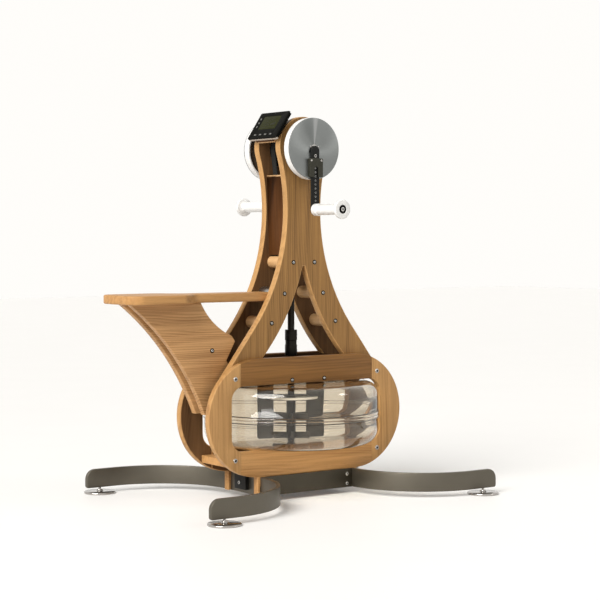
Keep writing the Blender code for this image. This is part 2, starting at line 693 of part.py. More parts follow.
def build_skid(label, side, root):
    """A skid under an oval, its two laps over the bows and the steel band on its outside."""
    half_height = (OVAL_BOTTOM - BAR_CLEARANCE - CLEAR) / 2
    centre = (0, BAR_CLEARANCE + half_height)
    half_length = BOW_APEX + BAR_THICKNESS / 2 + SKID_OVERHANG
    low, high = span_of(side, OVAL_INNER, OVAL_OUTER)
    outline = box_outline(half_length, half_height, centre)
    skid = upright_plate(f"{label}_skid", outline, low, high, "oak", root)
    notch = box_outline(BAR_THICKNESS / 2 + CLEAR, OVAL_THICKNESS)
    for end, way in ENDS.items():
        lap = (way * BOW_APEX, side * SKID_Y, 0)
        boolean(skid, flat_plate(f"{label}_{end}_lap", notch, 0, BAR_MIDDLE + CLEAR, None, root, lap))
    low, high = span_of(side, OVAL_OUTER + CLEAR, OVAL_OUTER + CLEAR + BAND_THICKNESS)
    band = box_outline(BOW_APEX - BAR_THICKNESS / 2 - CLEAR, half_height, centre)
    upright_plate(f"{label}_side_band", band, low, high, "satin_steel", root)


def build_bracket(root):
    """The angle on the rear bow that holds up the tank's shelf."""
    near = BOW_APEX + BAR_THICKNESS / 2 + CLEAR
    back = near + BRACKET_DEPTH
    shelf_low = SHELF_TOP - SHELF_THICKNESS - CLEAR
    outline = [
        (near, BAR_CLEARANCE + BRACKET_LIFT),
        (back, BAR_CLEARANCE + BRACKET_LIFT),
        (back, shelf_low - BRACKET_THICKNESS),
        (near + BRACKET_FLANGE, shelf_low - BRACKET_THICKNESS),
        (near + BRACKET_FLANGE, shelf_low),
        (near, shelf_low),
    ]
    half = BRACKET_HALF_WIDTH
    upright_plate("shelf_bracket", mirrored(outline, -1), -half, half, "black_steel", root)


def build_base(root):
    """Bows, skids that lap through them, side bands and the shelf's bracket."""
    for end, way in ENDS.items():
        build_bow(end, way, root)
    for label, side in SIDES.items():
        build_skid(label, side, root)
    build_bracket(root)


def build_feet(root):
    """Four levelling feet whose stems screw up into the bows."""
    edge = PAD_THICKNESS / 4
    profile = [
        (0, 0),
        (PAD_RADIUS - edge, 0),
        (PAD_RADIUS, edge),
        (PAD_RADIUS, PAD_THICKNESS - edge),
        (PAD_RADIUS - edge, PAD_THICKNESS),
        (PAD_HUB_RADIUS, PAD_THICKNESS),
        (PAD_HUB_RADIUS, PAD_HUB_HEIGHT),
        (STEM_RADIUS, PAD_HUB_HEIGHT),
        (STEM_RADIUS, STEM_TOP),
        (0, STEM_TOP),
    ]
    for label, side in SIDES.items():
        for end, way in ENDS.items():
            place = (way * PAD_X, side * BOW_HALF_WIDTH, 0)
            turned(f"{label}_{end}_foot", profile, "chrome", root, place, steps=28)


def shell_profile(flat, corner, towards, hole):
    """Half of the tank's wall in (radius, height): a flat end, a round corner and a seam band."""
    seam = SEAM_HEIGHT + towards * CLEAR / 2
    centre = (TANK_RADIUS - corner, flat - towards * corner)
    outside = arc(centre, corner, 90 * towards, 0, 5)
    inside = arc(centre, corner - TANK_WALL, 0, 90 * towards, 5)
    band = seam + towards * SEAM_HALF_BAND
    lip = TANK_RADIUS + SEAM_STEP
    rim = [(TANK_RADIUS, band), (lip, band), (lip, seam), (TANK_RADIUS - TANK_WALL, seam)]
    return [(hole, flat)] + outside + rim + inside + [(hole, flat - towards * TANK_WALL)]


def build_tank(root):
    """Two clear shells that meet at a seam band; the lower one stands on a foot ring."""
    upper = shell_profile(TANK_TOP, TANK_UPPER_CORNER, 1, TANK_HOLE_RADIUS)
    turned("tank_upper", upper, "clear_plastic", root, steps=48)
    lower = shell_profile(TANK_BOTTOM, TANK_LOWER_CORNER, -1, 0.0)
    ring_inner = FOOT_RING_RADIUS - FOOT_RING_WALL
    ring_low = SHELF_TOP + CLEAR
    ring = [
        (ring_inner, TANK_BOTTOM),
        (ring_inner, ring_low),
        (FOOT_RING_RADIUS, ring_low),
        (FOOT_RING_RADIUS, TANK_BOTTOM),
    ]
    turned("tank_lower", lower[:1] + ring + lower[1:], "clear_plastic", root, steps=48)


def build_drive_line(root):
    """Paddle, tank bearing, coupling and the block that carries the upright shaft."""
    floor = TANK_BOTTOM + TANK_WALL + CLEAR
    profile = [
        (0, floor),
        (SHAFT_RADIUS, floor),
        (SHAFT_RADIUS, PADDLE_BOTTOM),
        (PADDLE_HUB_RADIUS, PADDLE_BOTTOM),
        (PADDLE_HUB_RADIUS, PADDLE_HUB_TOP),
        (PADDLE_DISC_RADIUS, PADDLE_HUB_TOP),
        (PADDLE_DISC_RADIUS, PADDLE_HUB_TOP + PADDLE_DISC_THICKNESS),
        (SHAFT_RADIUS, PADDLE_HUB_TOP + PADDLE_DISC_THICKNESS),
        (SHAFT_RADIUS, SHAFT_SPLIT - CLEAR),
        (0, SHAFT_SPLIT - CLEAR),
    ]
    paddle = turned("paddle", profile, "dark_steel", root, steps=24)
    for index in range(PADDLE_BLADES // 2):
        blade = box_outline(PADDLE_RADIUS, PADDLE_BLADE / 2)
        low = PADDLE_BOTTOM + PADDLE_BLADE
        tool = flat_plate(f"blade_pair_{index}", blade, low, low + PADDLE_HEIGHT, None, root)
        tool.rotation_euler = (0, 0, math.pi * index / (PADDLE_BLADES // 2))
        boolean(paddle, tool, "UNION")
    bearing_low = TANK_TOP + CLEAR
    bearing = [
        (SHAFT_RADIUS + RUNNING, bearing_low),
        (BEARING_RADIUS, bearing_low),
        (BEARING_RADIUS, bearing_low + BEARING_THICKNESS),
        (BEARING_BOSS_RADIUS, bearing_low + BEARING_THICKNESS),
        (BEARING_BOSS_RADIUS, bearing_low + BEARING_BOSS_HEIGHT),
        (SHAFT_RADIUS + RUNNING, bearing_low + BEARING_BOSS_HEIGHT),
    ]
    turned("tank_bearing", bearing, "black_plastic", root, steps=28)
    coupling = tube_profile(COUPLING_RADIUS, SHAFT_RADIUS + RUNNING, 0, COUPLING_LENGTH)
    turned("shaft_coupling", coupling, "dark_steel", root, (0, 0, COUPLING_BOTTOM), steps=28)
    half = HALF_GAP - CLEAR
    outline = box_outline(dowel_place(0)[0] - DOWEL_RADIUS - CLEAR, half)
    block = flat_plate("shaft_block", outline, BLOCK_BOTTOM, BLOCK_TOP, "black_steel", root)
    bore = rod_profile(SHAFT_RADIUS + RUNNING, BLOCK_BOTTOM - SHAFT_RADIUS, BLOCK_TOP + SHAFT_RADIUS)
    boolean(block, turned("block_cutter", bore, None, root, steps=24))


def bevel_bmesh(shaft_radius, shaft_low, shaft_high, phase):
    """A straight bevel gear below its apex at the origin, its axis on Z, joined to its shaft."""
    slant_out = BEVEL_OUTER_RADIUS / math.sin(math.radians(45))
    slant_in = BEVEL_INNER_RADIUS / math.sin(math.radians(45))
    pitch = math.tau / BEVEL_TEETH
    shares = (
        (-BEVEL_ROOT_SHARE, BEVEL_ROOT_ANGLE),
        (-BEVEL_TIP_SHARE, BEVEL_TIP_ANGLE),
        (BEVEL_TIP_SHARE, BEVEL_TIP_ANGLE),
        (BEVEL_ROOT_SHARE, BEVEL_ROOT_ANGLE),
    )
    bm = bmesh.new()

    def ring(slant):
        verts = []
        for tooth in range(BEVEL_TEETH):
            for share, cone in shares:
                turn = phase + (tooth + share) * pitch
                gamma = math.radians(cone)
                flat = slant * math.sin(gamma)
                height = -slant * math.cos(gamma)
                verts.append(bm.verts.new((flat * math.cos(turn), flat * math.sin(turn), height)))
        return verts

    def round_ring(radius, height):
        count = BEVEL_TEETH * len(shares)
        angles = [phase + (i - 1.5) * math.tau / count for i in range(count)]
        return [bm.verts.new((radius * math.cos(a), radius * math.sin(a), height)) for a in angles]

    def join(first, second):
        count = len(first)
        for i in range(count):
            nxt = (i + 1) % count
            bm.faces.new((first[i], first[nxt], second[nxt], second[i]))

    hub = shaft_radius + BEVEL_HUB_WALL
    back = -slant_out * math.cos(math.radians(BEVEL_ROOT_ANGLE)) - BEVEL_HUB_BACK
    rings = [
        round_ring(shaft_radius, shaft_high),
        round_ring(shaft_radius, -BEVEL_NOSE),
        ring(slant_in),
        ring(slant_out),
        round_ring(hub, back),
        round_ring(shaft_radius, back),
        round_ring(shaft_radius, shaft_low),
    ]
    for first, second in zip(rings, rings[1:]):
        join(first, second)
    bm.faces.new(rings[0])
    bm.faces.new(rings[-1][::-1])
    return bm


def build_gear_stage(root):
    """Crank axle, belt stage, jack shaft and the upright shaft with its bevel gear."""
    bore = AXLE_RADIUS + RUNNING
    half_axle = WHEEL_FACE_Y - CLEAR
    centre = (0, 0, CRANK_HEIGHT)
    turned("crank_axle", rod_profile(AXLE_RADIUS, -half_axle, half_axle), "steel", root, centre, "Y", 24)
    low = BELT_Y - PULLEY_WIDTH / 2
    high = BELT_Y + PULLEY_WIDTH / 2
    flange = UPPER_PULLEY_RADIUS + PULLEY_FLANGE
    profile = [
        (bore, low),
        (flange, low),
        (flange, low + PULLEY_RIM),
        (UPPER_PULLEY_RADIUS, low + PULLEY_RIM),
        (UPPER_PULLEY_RADIUS, high - PULLEY_RIM),
        (flange, high - PULLEY_RIM),
        (flange, high),
        (bore, high),
    ]
    turned("upper_pulley", profile, "black_plastic", root, centre, "Y", 36)
    build_belt(root)
    jack = empty("jack_axis", (0, 0, JACK_HEIGHT), (math.radians(-90), 0, 0), root)
    reach = PLATE_OUTER - CLEAR
    bm = bevel_bmesh(JACK_RADIUS, -reach, reach, math.pi / 2)
    jack_shaft = finish("jack_shaft", bm, "dark_steel", jack)
    pulley = rod_profile(LOWER_PULLEY_RADIUS, low, high)
    boolean(jack_shaft, turned("jack_pulley", pulley, None, jack, steps=32), "UNION")
    gear = empty("gear_axis", (0, 0, JACK_HEIGHT), parent=root)
    phase = -math.pi / 2 + math.pi / BEVEL_TEETH
    top = -BEVEL_INNER_RADIUS
    bm = bevel_bmesh(SHAFT_RADIUS, SHAFT_SPLIT + CLEAR - JACK_HEIGHT, top, phase)
    finish("upright_shaft", bm, "dark_steel", gear)


def build_belt(root):
    """An endless flat belt round the two pulleys."""

    def loop(offset):
        upper = UPPER_PULLEY_RADIUS + CLEAR + offset
        lower = LOWER_PULLEY_RADIUS + CLEAR + offset
        lean = math.degrees(math.asin((upper - lower) / (CRANK_HEIGHT - JACK_HEIGHT)))
        over = arc((0, CRANK_HEIGHT), upper, -lean, 180 + lean, 24)
        under = arc((0, JACK_HEIGHT), lower, 180 + lean, 360 - lean, 16)
        return over + under

    low = BELT_Y - BELT_WIDTH / 2
    bm = bmesh.new()
    outer = loop(BELT_THICKNESS)
    inner = loop(0)
    count = len(outer)
    columns = [
        [bm.verts.new((a, y, b)) for a, b in points]
        for points, y in ((outer, low), (outer, low + BELT_WIDTH), (inner, low + BELT_WIDTH), (inner, low))
    ]
    for k in range(4):
        first = columns[k]
        second = columns[(k + 1) % 4]
        for i in range(count):
            nxt = (i + 1) % count
            bm.faces.new((first[i], first[nxt], second[nxt], second[i]))
    finish("drive_belt", bm, "black_rubber", root)


def wheel_profile():
    """The crank wheel from its hub at the plate to its metal face, as (radius, along)."""
    bore = AXLE_RADIUS + RUNNING
    hub_back = PLATE_OUTER + SPIN_GAP
    disc_back = WHEEL_FACE_Y - WHEEL_DISC_THICKNESS
    edge = WHEEL_EDGE
    return [
        (bore, hub_back),
        (WHEEL_HUB_RADIUS, hub_back),
        (WHEEL_HUB_RADIUS, WHEEL_BACK_Y),
        (WHEEL_RADIUS - edge, WHEEL_BACK_Y),
        (WHEEL_RADIUS, WHEEL_BACK_Y + edge),
        (WHEEL_RADIUS, disc_back - WHEEL_GROOVE),
        (WHEEL_RADIUS - edge, disc_back - WHEEL_GROOVE),
        (WHEEL_RADIUS - edge, disc_back),
        (WHEEL_RADIUS - WHEEL_GROOVE, disc_back),
        (WHEEL_RADIUS - WHEEL_GROOVE, WHEEL_FACE_Y - WHEEL_GROOVE),
        (WHEEL_RADIUS - 2 * WHEEL_GROOVE, WHEEL_FACE_Y),
        (bore, WHEEL_FACE_Y),
    ]


def arc_between(first, last, radius, steps):
    """The shorter arc between two points; it bulges left of the way, or right for a radius below 0."""
    chord = Vector(last) - Vector(first)
    left = Vector((-chord.y, chord.x)).normalized()
    rise = math.sqrt(radius**2 - (chord.length / 2) ** 2)
    way = math.copysign(1, radius)
    centre = Vector(first) + chord / 2 - left * rise * way
    start = math.degrees(math.atan2(first[1] - centre.y, first[0] - centre.x))
    turn = 2 * way * math.degrees(math.asin(chord.length / (2 * abs(radius))))
    return arc(tuple(centre), abs(radius), start, start - turn, steps)


def sided(profile, side):
    """Point a profile's along values to a side."""
    return [(radius, side * along) for radius, along in profile]


def build_sleeve(label, side, root):
    """The black guide on the wheel's face in which the crank bar slides."""
    back = WHEEL_FACE_Y + CLEAR
    front = BAR_OUTER_Y + CLEAR + SLEEVE_WEB
    low, high = span_of(side, back, front)
    centre = (0, -SLEEVE_DROP - SLEEVE_HEIGHT / 2)
    place = (0, 0, CRANK_HEIGHT)
    outline = rounded_outline(SLEEVE_WIDTH / 2, SLEEVE_HEIGHT / 2, SLEEVE_CORNER, centre, 2)
    sleeve = upright_plate(f"{label}_crank_sleeve", outline, low, high, "black_steel", root, place)
    channel = box_outline(CRANK_BAR_WIDTH / 2 + CLEAR, SLEEVE_HEIGHT, centre)
    cut_low, cut_high = span_of(side, back - CLEAR, BAR_OUTER_Y + CLEAR)
    boolean(sleeve, upright_plate(f"{label}_channel", channel, cut_low, cut_high, None, root, place))
    bottom = -SLEEVE_DROP - SLEEVE_HEIGHT
    window = box_outline(SLEEVE_WINDOW_WIDTH / 2, SLEEVE_WINDOW_HEIGHT, (0, bottom))
    slot_low, slot_high = span_of(side, back, front + SLEEVE_WEB)
    boolean(sleeve, upright_plate(f"{label}_slot", window, slot_low, slot_high, None, root, place))


def build_crank_bar(label, side, root):
    """The sliding bar with its row of holes, the grip's pin and the cap that keeps the grip on."""
    place = (0, 0, HANDLE_HEIGHTS[label])
    half = CRANK_BAR_WIDTH / 2
    top = CRANK_LENGTH + CRANK_BAR_OVERRUN - half
    outline = arc((0, 0), half, 180, 360, 10) + arc((0, top), half, 0, 180, 10)
    low, high = span_of(side, BAR_INNER_Y, BAR_OUTER_Y)
    heights = [CRANK_FIRST_HOLE + index * CRANK_HOLE_PITCH for index in range(CRANK_HOLES)]
    holes = [arc((0, height), CRANK_HOLE_RADIUS, 0, 324, 9) for height in heights]
    bar = pierced_plate(f"{label}_crank_bar", outline, holes, low, high, "black_steel", root, place)
    cap_in = GRIP_END_Y - GRIP_CAP_LENGTH
    pin = [
        (0, BAR_INNER_Y + CLEAR),
        (GRIP_PIN_RADIUS, BAR_INNER_Y + CLEAR),
        (GRIP_PIN_RADIUS, cap_in),
        (GRIP_CAP_RADIUS, cap_in),
        (GRIP_CAP_RADIUS, GRIP_END_Y),
        (0, GRIP_END_Y),
    ]
    boolean(bar, turned(f"{label}_pin", sided(pin, side), None, root, place, "Y", 20), "UNION")


def build_grip(label, side, root):
    """The white grip that turns on its pin."""
    bore = GRIP_PIN_RADIUS + RUNNING
    start = BAR_OUTER_Y + CLEAR
    cap_in = GRIP_END_Y - GRIP_CAP_LENGTH - CLEAR
    flange_in = GRIP_END_Y - GRIP_FLANGE_LENGTH
    edge = GRIP_FLANGE_LENGTH / 5
    profile = [
        (bore, start),
        (GRIP_COLLAR_RADIUS - edge, start),
        (GRIP_COLLAR_RADIUS, start + edge),
        (GRIP_COLLAR_RADIUS, start + GRIP_COLLAR_LENGTH),
        (GRIP_RADIUS, start + GRIP_COLLAR_LENGTH + edge),
        (GRIP_RADIUS, flange_in - edge),
        (GRIP_FLANGE_RADIUS - edge, flange_in),
        (GRIP_FLANGE_RADIUS, flange_in + edge),
        (GRIP_FLANGE_RADIUS, GRIP_END_Y - edge),
        (GRIP_FLANGE_RADIUS - edge, GRIP_END_Y),
        (GRIP_CAP_RADIUS + CLEAR, GRIP_END_Y),
        (GRIP_CAP_RADIUS + CLEAR, cap_in),
        (bore, cap_in),
    ]
    place = (0, 0, HANDLE_HEIGHTS[label])
    turned(f"{label}_grip", sided(profile, side), "white_plastic", root, place, "Y", 24)


def build_cranks(root):
    """A wheel, sleeve, bar and grip on each side."""
    for label, side in SIDES.items():
        place = (0, 0, CRANK_HEIGHT)
        turned(f"{label}_wheel", sided(wheel_profile(), side), "white_plastic", root, place, "Y", 40)
        build_sleeve(label, side, root)
        build_crank_bar(label, side, root)
        build_grip(label, side, root)


def build_console(root):
    """The leaning block between the plates, the console on it, its screen and its buttons."""
    tilt = math.radians(CONSOLE_LEAN - 90)
    frame = empty("console_frame", (0, 0, CRANK_HEIGHT), (0, tilt, 0), root)
    board_low = CONSOLE_SEAT - CONSOLE_BOARD_DROP
    board_high = board_low + CONSOLE_BOARD_THICKNESS
    board_half = (CONSOLE_BOARD_HIGH + CONSOLE_BOARD_LOW) / 2
    board_centre = ((CONSOLE_BOARD_HIGH - CONSOLE_BOARD_LOW) / 2, 0)
    board = box_outline(board_half, HALF_GAP - CLEAR, board_centre)
    flat_plate("console_board", board, board_low, board_high, "oak", frame)
    low = board_high + CLEAR
    face = low + CONSOLE_DEPTH
    outline = rounded_outline(CONSOLE_HEIGHT / 2, CONSOLE_WIDTH / 2, CONSOLE_CORNER, (CONSOLE_RAISE, 0), 3)
    body = flat_plate("console_body", outline, low, face, "black_plastic", frame)
    screen_centre = (CONSOLE_RAISE + SCREEN_RAISE, 0)
    recess_floor = face - SCREEN_THICKNESS - 2 * CLEAR
    recess = box_outline(SCREEN_HEIGHT / 2 + CLEAR, SCREEN_WIDTH / 2 + CLEAR, screen_centre)
    boolean(body, flat_plate("screen_recess", recess, recess_floor, face + CLEAR, None, frame))
    screen = box_outline(SCREEN_HEIGHT / 2, SCREEN_WIDTH / 2, screen_centre)
    screen_low = recess_floor + CLEAR
    flat_plate("console_screen", screen, screen_low, screen_low + SCREEN_THICKNESS, "screen", frame)
    for index in range(BUTTON_COUNT):
        y = (index - (BUTTON_COUNT - 1) / 2) * BUTTON_PITCH
        centre = (CONSOLE_RAISE - BUTTON_DROP, y)
        pocket = box_outline(BUTTON_HEIGHT / 2 + CLEAR, BUTTON_WIDTH / 2 + CLEAR, centre)
        pocket_floor = face - BUTTON_DEPTH - BUTTON_PROUD
        boolean(body, flat_plate(f"pocket_{index}", pocket, pocket_floor, face + CLEAR, None, frame))
        button = box_outline(BUTTON_HEIGHT / 2, BUTTON_WIDTH / 2)
        name = f"console_button_{index + 1}"
        place = (centre[0], centre[1], 0)
        flat_plate(name, button, face - BUTTON_DEPTH, face + BUTTON_PROUD, "black_rubber", frame, place)


def main():
    clear_scene()
    MATERIALS.update({name: make_material(name) for name in FINISHES})
    root = empty("tank_axis", (AXIS_X, 0, 0))
    build_side_plates(root)
    build_ovals(root)
    build_dowels(root)
    build_inner_boards(root)
    build_seat(root)
    build_base(root)
    build_feet(root)
    build_tank(root)
    build_drive_line(root)
    build_gear_stage(root)
    build_cranks(root)
    build_console(root)
    bpy.context.view_layer.update()


MATERIALS = {}
main()
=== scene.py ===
"""Upper body ergometer: the visual model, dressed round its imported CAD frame.

Metres, +Z up. The user sits at -X and the right side is -Y. Shapes are worked out about the tank's
upright axis, which stands at AXIS_X in the row frame, and are moved there when they become objects.
"""

import logging
from dataclasses import dataclass
from enum import Enum
from math import acos, asin, atan2, copysign, cos, degrees, pi, radians, sin, sqrt, tan, tau

import bmesh
import bpy
import numpy as np
from mathutils import Matrix, Vector
from mathutils.geometry import tessellate_polygon


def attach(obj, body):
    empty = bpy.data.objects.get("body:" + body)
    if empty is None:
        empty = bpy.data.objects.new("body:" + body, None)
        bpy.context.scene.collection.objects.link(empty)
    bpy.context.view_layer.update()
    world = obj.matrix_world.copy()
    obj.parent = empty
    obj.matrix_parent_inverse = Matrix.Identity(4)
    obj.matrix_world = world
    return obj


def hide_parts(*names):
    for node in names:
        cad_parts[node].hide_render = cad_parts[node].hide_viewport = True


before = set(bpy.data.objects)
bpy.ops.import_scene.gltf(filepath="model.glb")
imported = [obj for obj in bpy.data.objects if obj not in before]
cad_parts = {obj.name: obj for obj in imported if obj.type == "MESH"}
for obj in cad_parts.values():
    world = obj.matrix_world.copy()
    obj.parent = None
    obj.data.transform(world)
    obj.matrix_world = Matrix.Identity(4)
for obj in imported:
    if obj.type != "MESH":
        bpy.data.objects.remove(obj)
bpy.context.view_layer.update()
LOG = logging.getLogger("ergometer")

Array = np.ndarray
Colour = tuple[float, float, float]
Point = tuple[float, float, float]
Place = tuple[float, float]
Socket = bpy.types.NodeSocket
Node = bpy.types.Node
Tree = bpy.types.NodeTree
Material = bpy.types.Material
Parts = list[tuple["Surface", "Finish"]]

# Places that several sub-assemblies share, as in the CAD source
AXIS_X = 0.045
CLEAR = 0.0003
HALF_GAP = 0.043
PLATE_OUTER = 0.0655
CRANK_HEIGHT = 1.0157
TANK_RADIUS = 0.2575
TANK_BOTTOM = 0.153
TANK_TOP = 0.334
OVAL_HEIGHT = 0.2435
BOARD_WIDTH = 0.0765
OVAL_RADIUS = 0.1698
OVAL_INNER = 0.0658
OVAL_OUTER = 0.0873
OVAL_HALF_STRAIGHT = 0.1733
BAR_CLEARANCE = 0.018
BAR_TOP = 0.073
BAR_MIDDLE = 0.0455
BOW_APEX = 0.164
BAR_THICKNESS = 0.012
DECK_TOP = 0.4088
SHAFT_RADIUS = 0.01
PLANK_BOTTOM = 0.5755
SHELF_TOP = 0.128
SHELF_THICKNESS = 0.0215
TANK_WALL = 0.004
BAND_THICKNESS = 0.004
BRACKET_THICKNESS = 0.012
PANEL_OUTER = 0.0348
WINDOW_CORNER = 0.04
CONSOLE_LEAN = 33.7
SIDES = {"right": -1, "left": 1}
ENDS = {"rear": -1, "front": 1}

# Limits of the outline and surface functions
TINY = 1e-9
SAME_POINT = 1e-7
ON_AXIS = 1e-6
WELD = 1e-6
LEAST_BISECTOR = 0.4
LONGEST_CUT = 0.45
SKIN_RISE = 0.0001

# A socket screw's head: shares of its radius, or of its socket's, and of its height
HEAD_STEPS = 36
HEAD_SHOULDER = ((1.0, 0.45), (0.93, 0.8), (0.78, 1.0))
SOCKET_WALL = ((1.12, 1.0), (1.0, 0.9), (1.0, 0.35))
SOCKET_FLOOR = 0.3


class Lay(Enum):
    """The plane in which a board's outline is drawn."""

    UPRIGHT = "outline in X and Z, thickness along Y"
    LEVEL = "outline in X and Y, thickness along Z"


class GrainWay(Enum):
    """Direction of a board's grain, as the axes that give (along, across, through)."""

    X = (0, 2, 1)
    PLANK = (0, 1, 2)
    Y = (1, 0, 2)
    Z = (2, 0, 1)


# Outlines


def arc(centre: Place, radius: float, start: float, end: float, steps: int) -> Array:
    """Points on a circle: centre + radius (cos t, sin t) with t running evenly from start to end.

    Args:
        centre: The circle's centre.
        radius: Its radius.
        start: First angle in degrees.
        end: Last angle in degrees.
        steps: Number of equal steps.

    Returns:
        An array of steps + 1 points.
    """
    turn = np.radians(np.linspace(start, end, steps + 1))
    return np.column_stack((centre[0] + radius * np.cos(turn), centre[1] + radius * np.sin(turn)))


def chain(*parts: Array | Place) -> Array:
    """Join outlines and single points in order into one array of points."""
    return np.vstack([np.atleast_2d(np.asarray(part, float)) for part in parts])


def mirrored(points: Array, side: int) -> Array:
    """Reflect an outline's first coordinate when side is -1."""
    return points * np.array((side, 1.0))


def box_outline(half_a: float, half_b: float, centre: Place = (0.0, 0.0)) -> Array:
    """The four corners of a rectangle round a centre."""
    corners = np.array(((-1, -1), (1, -1), (1, 1), (-1, 1)), float)
    return corners * (half_a, half_b) + centre


def round_box(
    half_a: float, half_b: float, radius: float, centre: Place = (0.0, 0.0), steps: int = 5
) -> Array:
    """A rectangle whose four corners are quarter circles of one radius.

    Args:
        half_a: Half the first side.
        half_b: Half the second side.
        radius: Corner radius.
        centre: The rectangle's centre.
        steps: Steps in each corner.

    Returns:
        The closed outline, counter-clockwise.
    """
    quarters = []
    for a, b, start in ((1, 1, 0), (-1, 1, 90), (-1, -1, 180), (1, -1, 270)):
        corner = (centre[0] + a * (half_a - radius), centre[1] + b * (half_b - radius))
        quarters.append(arc(corner, radius, start, start + 90, steps))
    return chain(*quarters)


def arc_between(first: Place, last: Place, radius: float, steps: int) -> Array:
    """The shorter arc between two points, bulging left of the way, or right for a radius below 0.

    The centre lies on the chord's perpendicular bisector, sqrt(radius^2 - half chord^2) away.

    Args:
        first: Start point.
        last: End point.
        radius: Signed radius.
        steps: Number of equal steps.

    Returns:
        An array of steps + 1 points.
    """
    start = np.array(first)
    chord = np.array(last) - start
    length = float(np.hypot(*chord))
    left = np.array((-chord[1], chord[0])) / length
    way = copysign(1, radius)
    centre = start + chord / 2 - left * way * sqrt(radius**2 - (length / 2) ** 2)
    begin = degrees(atan2(start[1] - centre[1], start[0] - centre[0]))
    turn = 2 * way * degrees(asin(length / (2 * abs(radius))))
    return arc((centre[0], centre[1]), abs(radius), begin, begin - turn, steps)


def leftward(ring: Array) -> Array:
    """Unit-reach offsets of a closed outline to its left: bisectors lengthened to keep parallel edges."""
    ahead = np.roll(ring, -1, axis=0) - ring
    ahead = ahead / np.maximum(np.linalg.norm(ahead, axis=1, keepdims=True), TINY)
    behind = np.roll(ahead, 1, axis=0)
    normal = np.column_stack((-ahead[:, 1], ahead[:, 0]))
    other = np.column_stack((-behind[:, 1], behind[:, 0]))
    middle = normal + other
    middle = middle / np.maximum(np.linalg.norm(middle, axis=1, keepdims=True), TINY)
    reach = np.maximum(np.sum(middle * normal, axis=1, keepdims=True), LEAST_BISECTOR)
    return middle / reach


def turned_left(ring: Array, inside: bool) -> Array:
    """Order a closed outline so that the solid lies on its left.

    Args:
        ring: The outline.
        inside: True for an outer outline, False for a hole's.

    Returns:
        The outline, reversed where needed, without repeated points.
    """
    apart = np.linalg.norm(ring - np.roll(ring, 1, axis=0), axis=1) > SAME_POINT
    ring = ring[apart]
    after = np.roll(ring, -1, axis=0)
    area = np.sum(ring[:, 0] * after[:, 1] - after[:, 0] * ring[:, 1])
    return ring if (area > 0) == inside else ring[::-1]


def filleted(profile: Array, radius: float, steps: int = 3) -> Array:
    """Round each corner of a closed profile off the axis with a quadratic curve.

    The curve runs between the points that lie radius (at most LONGEST_CUT of an edge) from the corner:
    (1 - t)^2 first + 2 t (1 - t) corner + t^2 last.

    Args:
        profile: Closed profile of (radius, along) points.
        radius: How far from a corner the rounding starts.
        steps: Steps in each rounding.

    Returns:
        The rounded profile.
    """
    before = np.roll(profile, 1, axis=0) - profile
    after = np.roll(profile, -1, axis=0) - profile
    span_b = np.linalg.norm(before, axis=1, keepdims=True)
    span_a = np.linalg.norm(after, axis=1, keepdims=True)
    on_axis = (profile[:, :1] < ON_AXIS).astype(float)
    cut = np.minimum(radius, LONGEST_CUT * np.minimum(span_a, span_b)) * (1 - on_axis)
    first = profile + before / span_b * cut
    last = profile + after / span_a * cut
    t = np.linspace(0, 1, steps + 1)[None, :, None]
    curve = (1 - t) ** 2 * first[:, None] + 2 * t * (1 - t) * profile[:, None] + t**2 * last[:, None]
    return curve.reshape(-1, 2)


# Surfaces


@dataclass
class Surface:
    """Points and faces of a closed surface, with a mark on the faces that stay flat."""

    points: Array
    faces: list[list[int]]
    flat: list[bool]

    def placed(self, matrix: Matrix) -> "Surface":
        """The same surface after a 4 x 4 transform."""
        change = np.array(matrix)
        return Surface(self.points @ change[:3, :3].T + change[:3, 3], self.faces, self.flat)


def together(parts: list[Surface]) -> Surface:
    """Several surfaces as one, with their face indices moved on."""
    starts = np.cumsum([0] + [len(part.points) for part in parts[:-1]])
    faces = [[i + int(start) for i in face] for part, start in zip(parts, starts) for face in part.faces]
    flat = [mark for part in parts for mark in part.flat]
    return Surface(np.vstack([part.points for part in parts]), faces, flat)


def grid_faces(rows: int, columns: int, closed_rows: bool, first: int = 0) -> list[list[int]]:
    """Quads between neighbouring rows of a grid whose columns run round in a ring."""
    row = np.arange(rows if closed_rows else rows - 1)[:, None]
    column = np.arange(columns)[None, :]
    following = (column + 1) % columns
    here, below = row * columns, (row + 1) % rows * columns
    quads = np.stack((here + column, here + following, below + following, below + column), axis=-1)
    return (quads.reshape(-1, 4) + first).tolist()


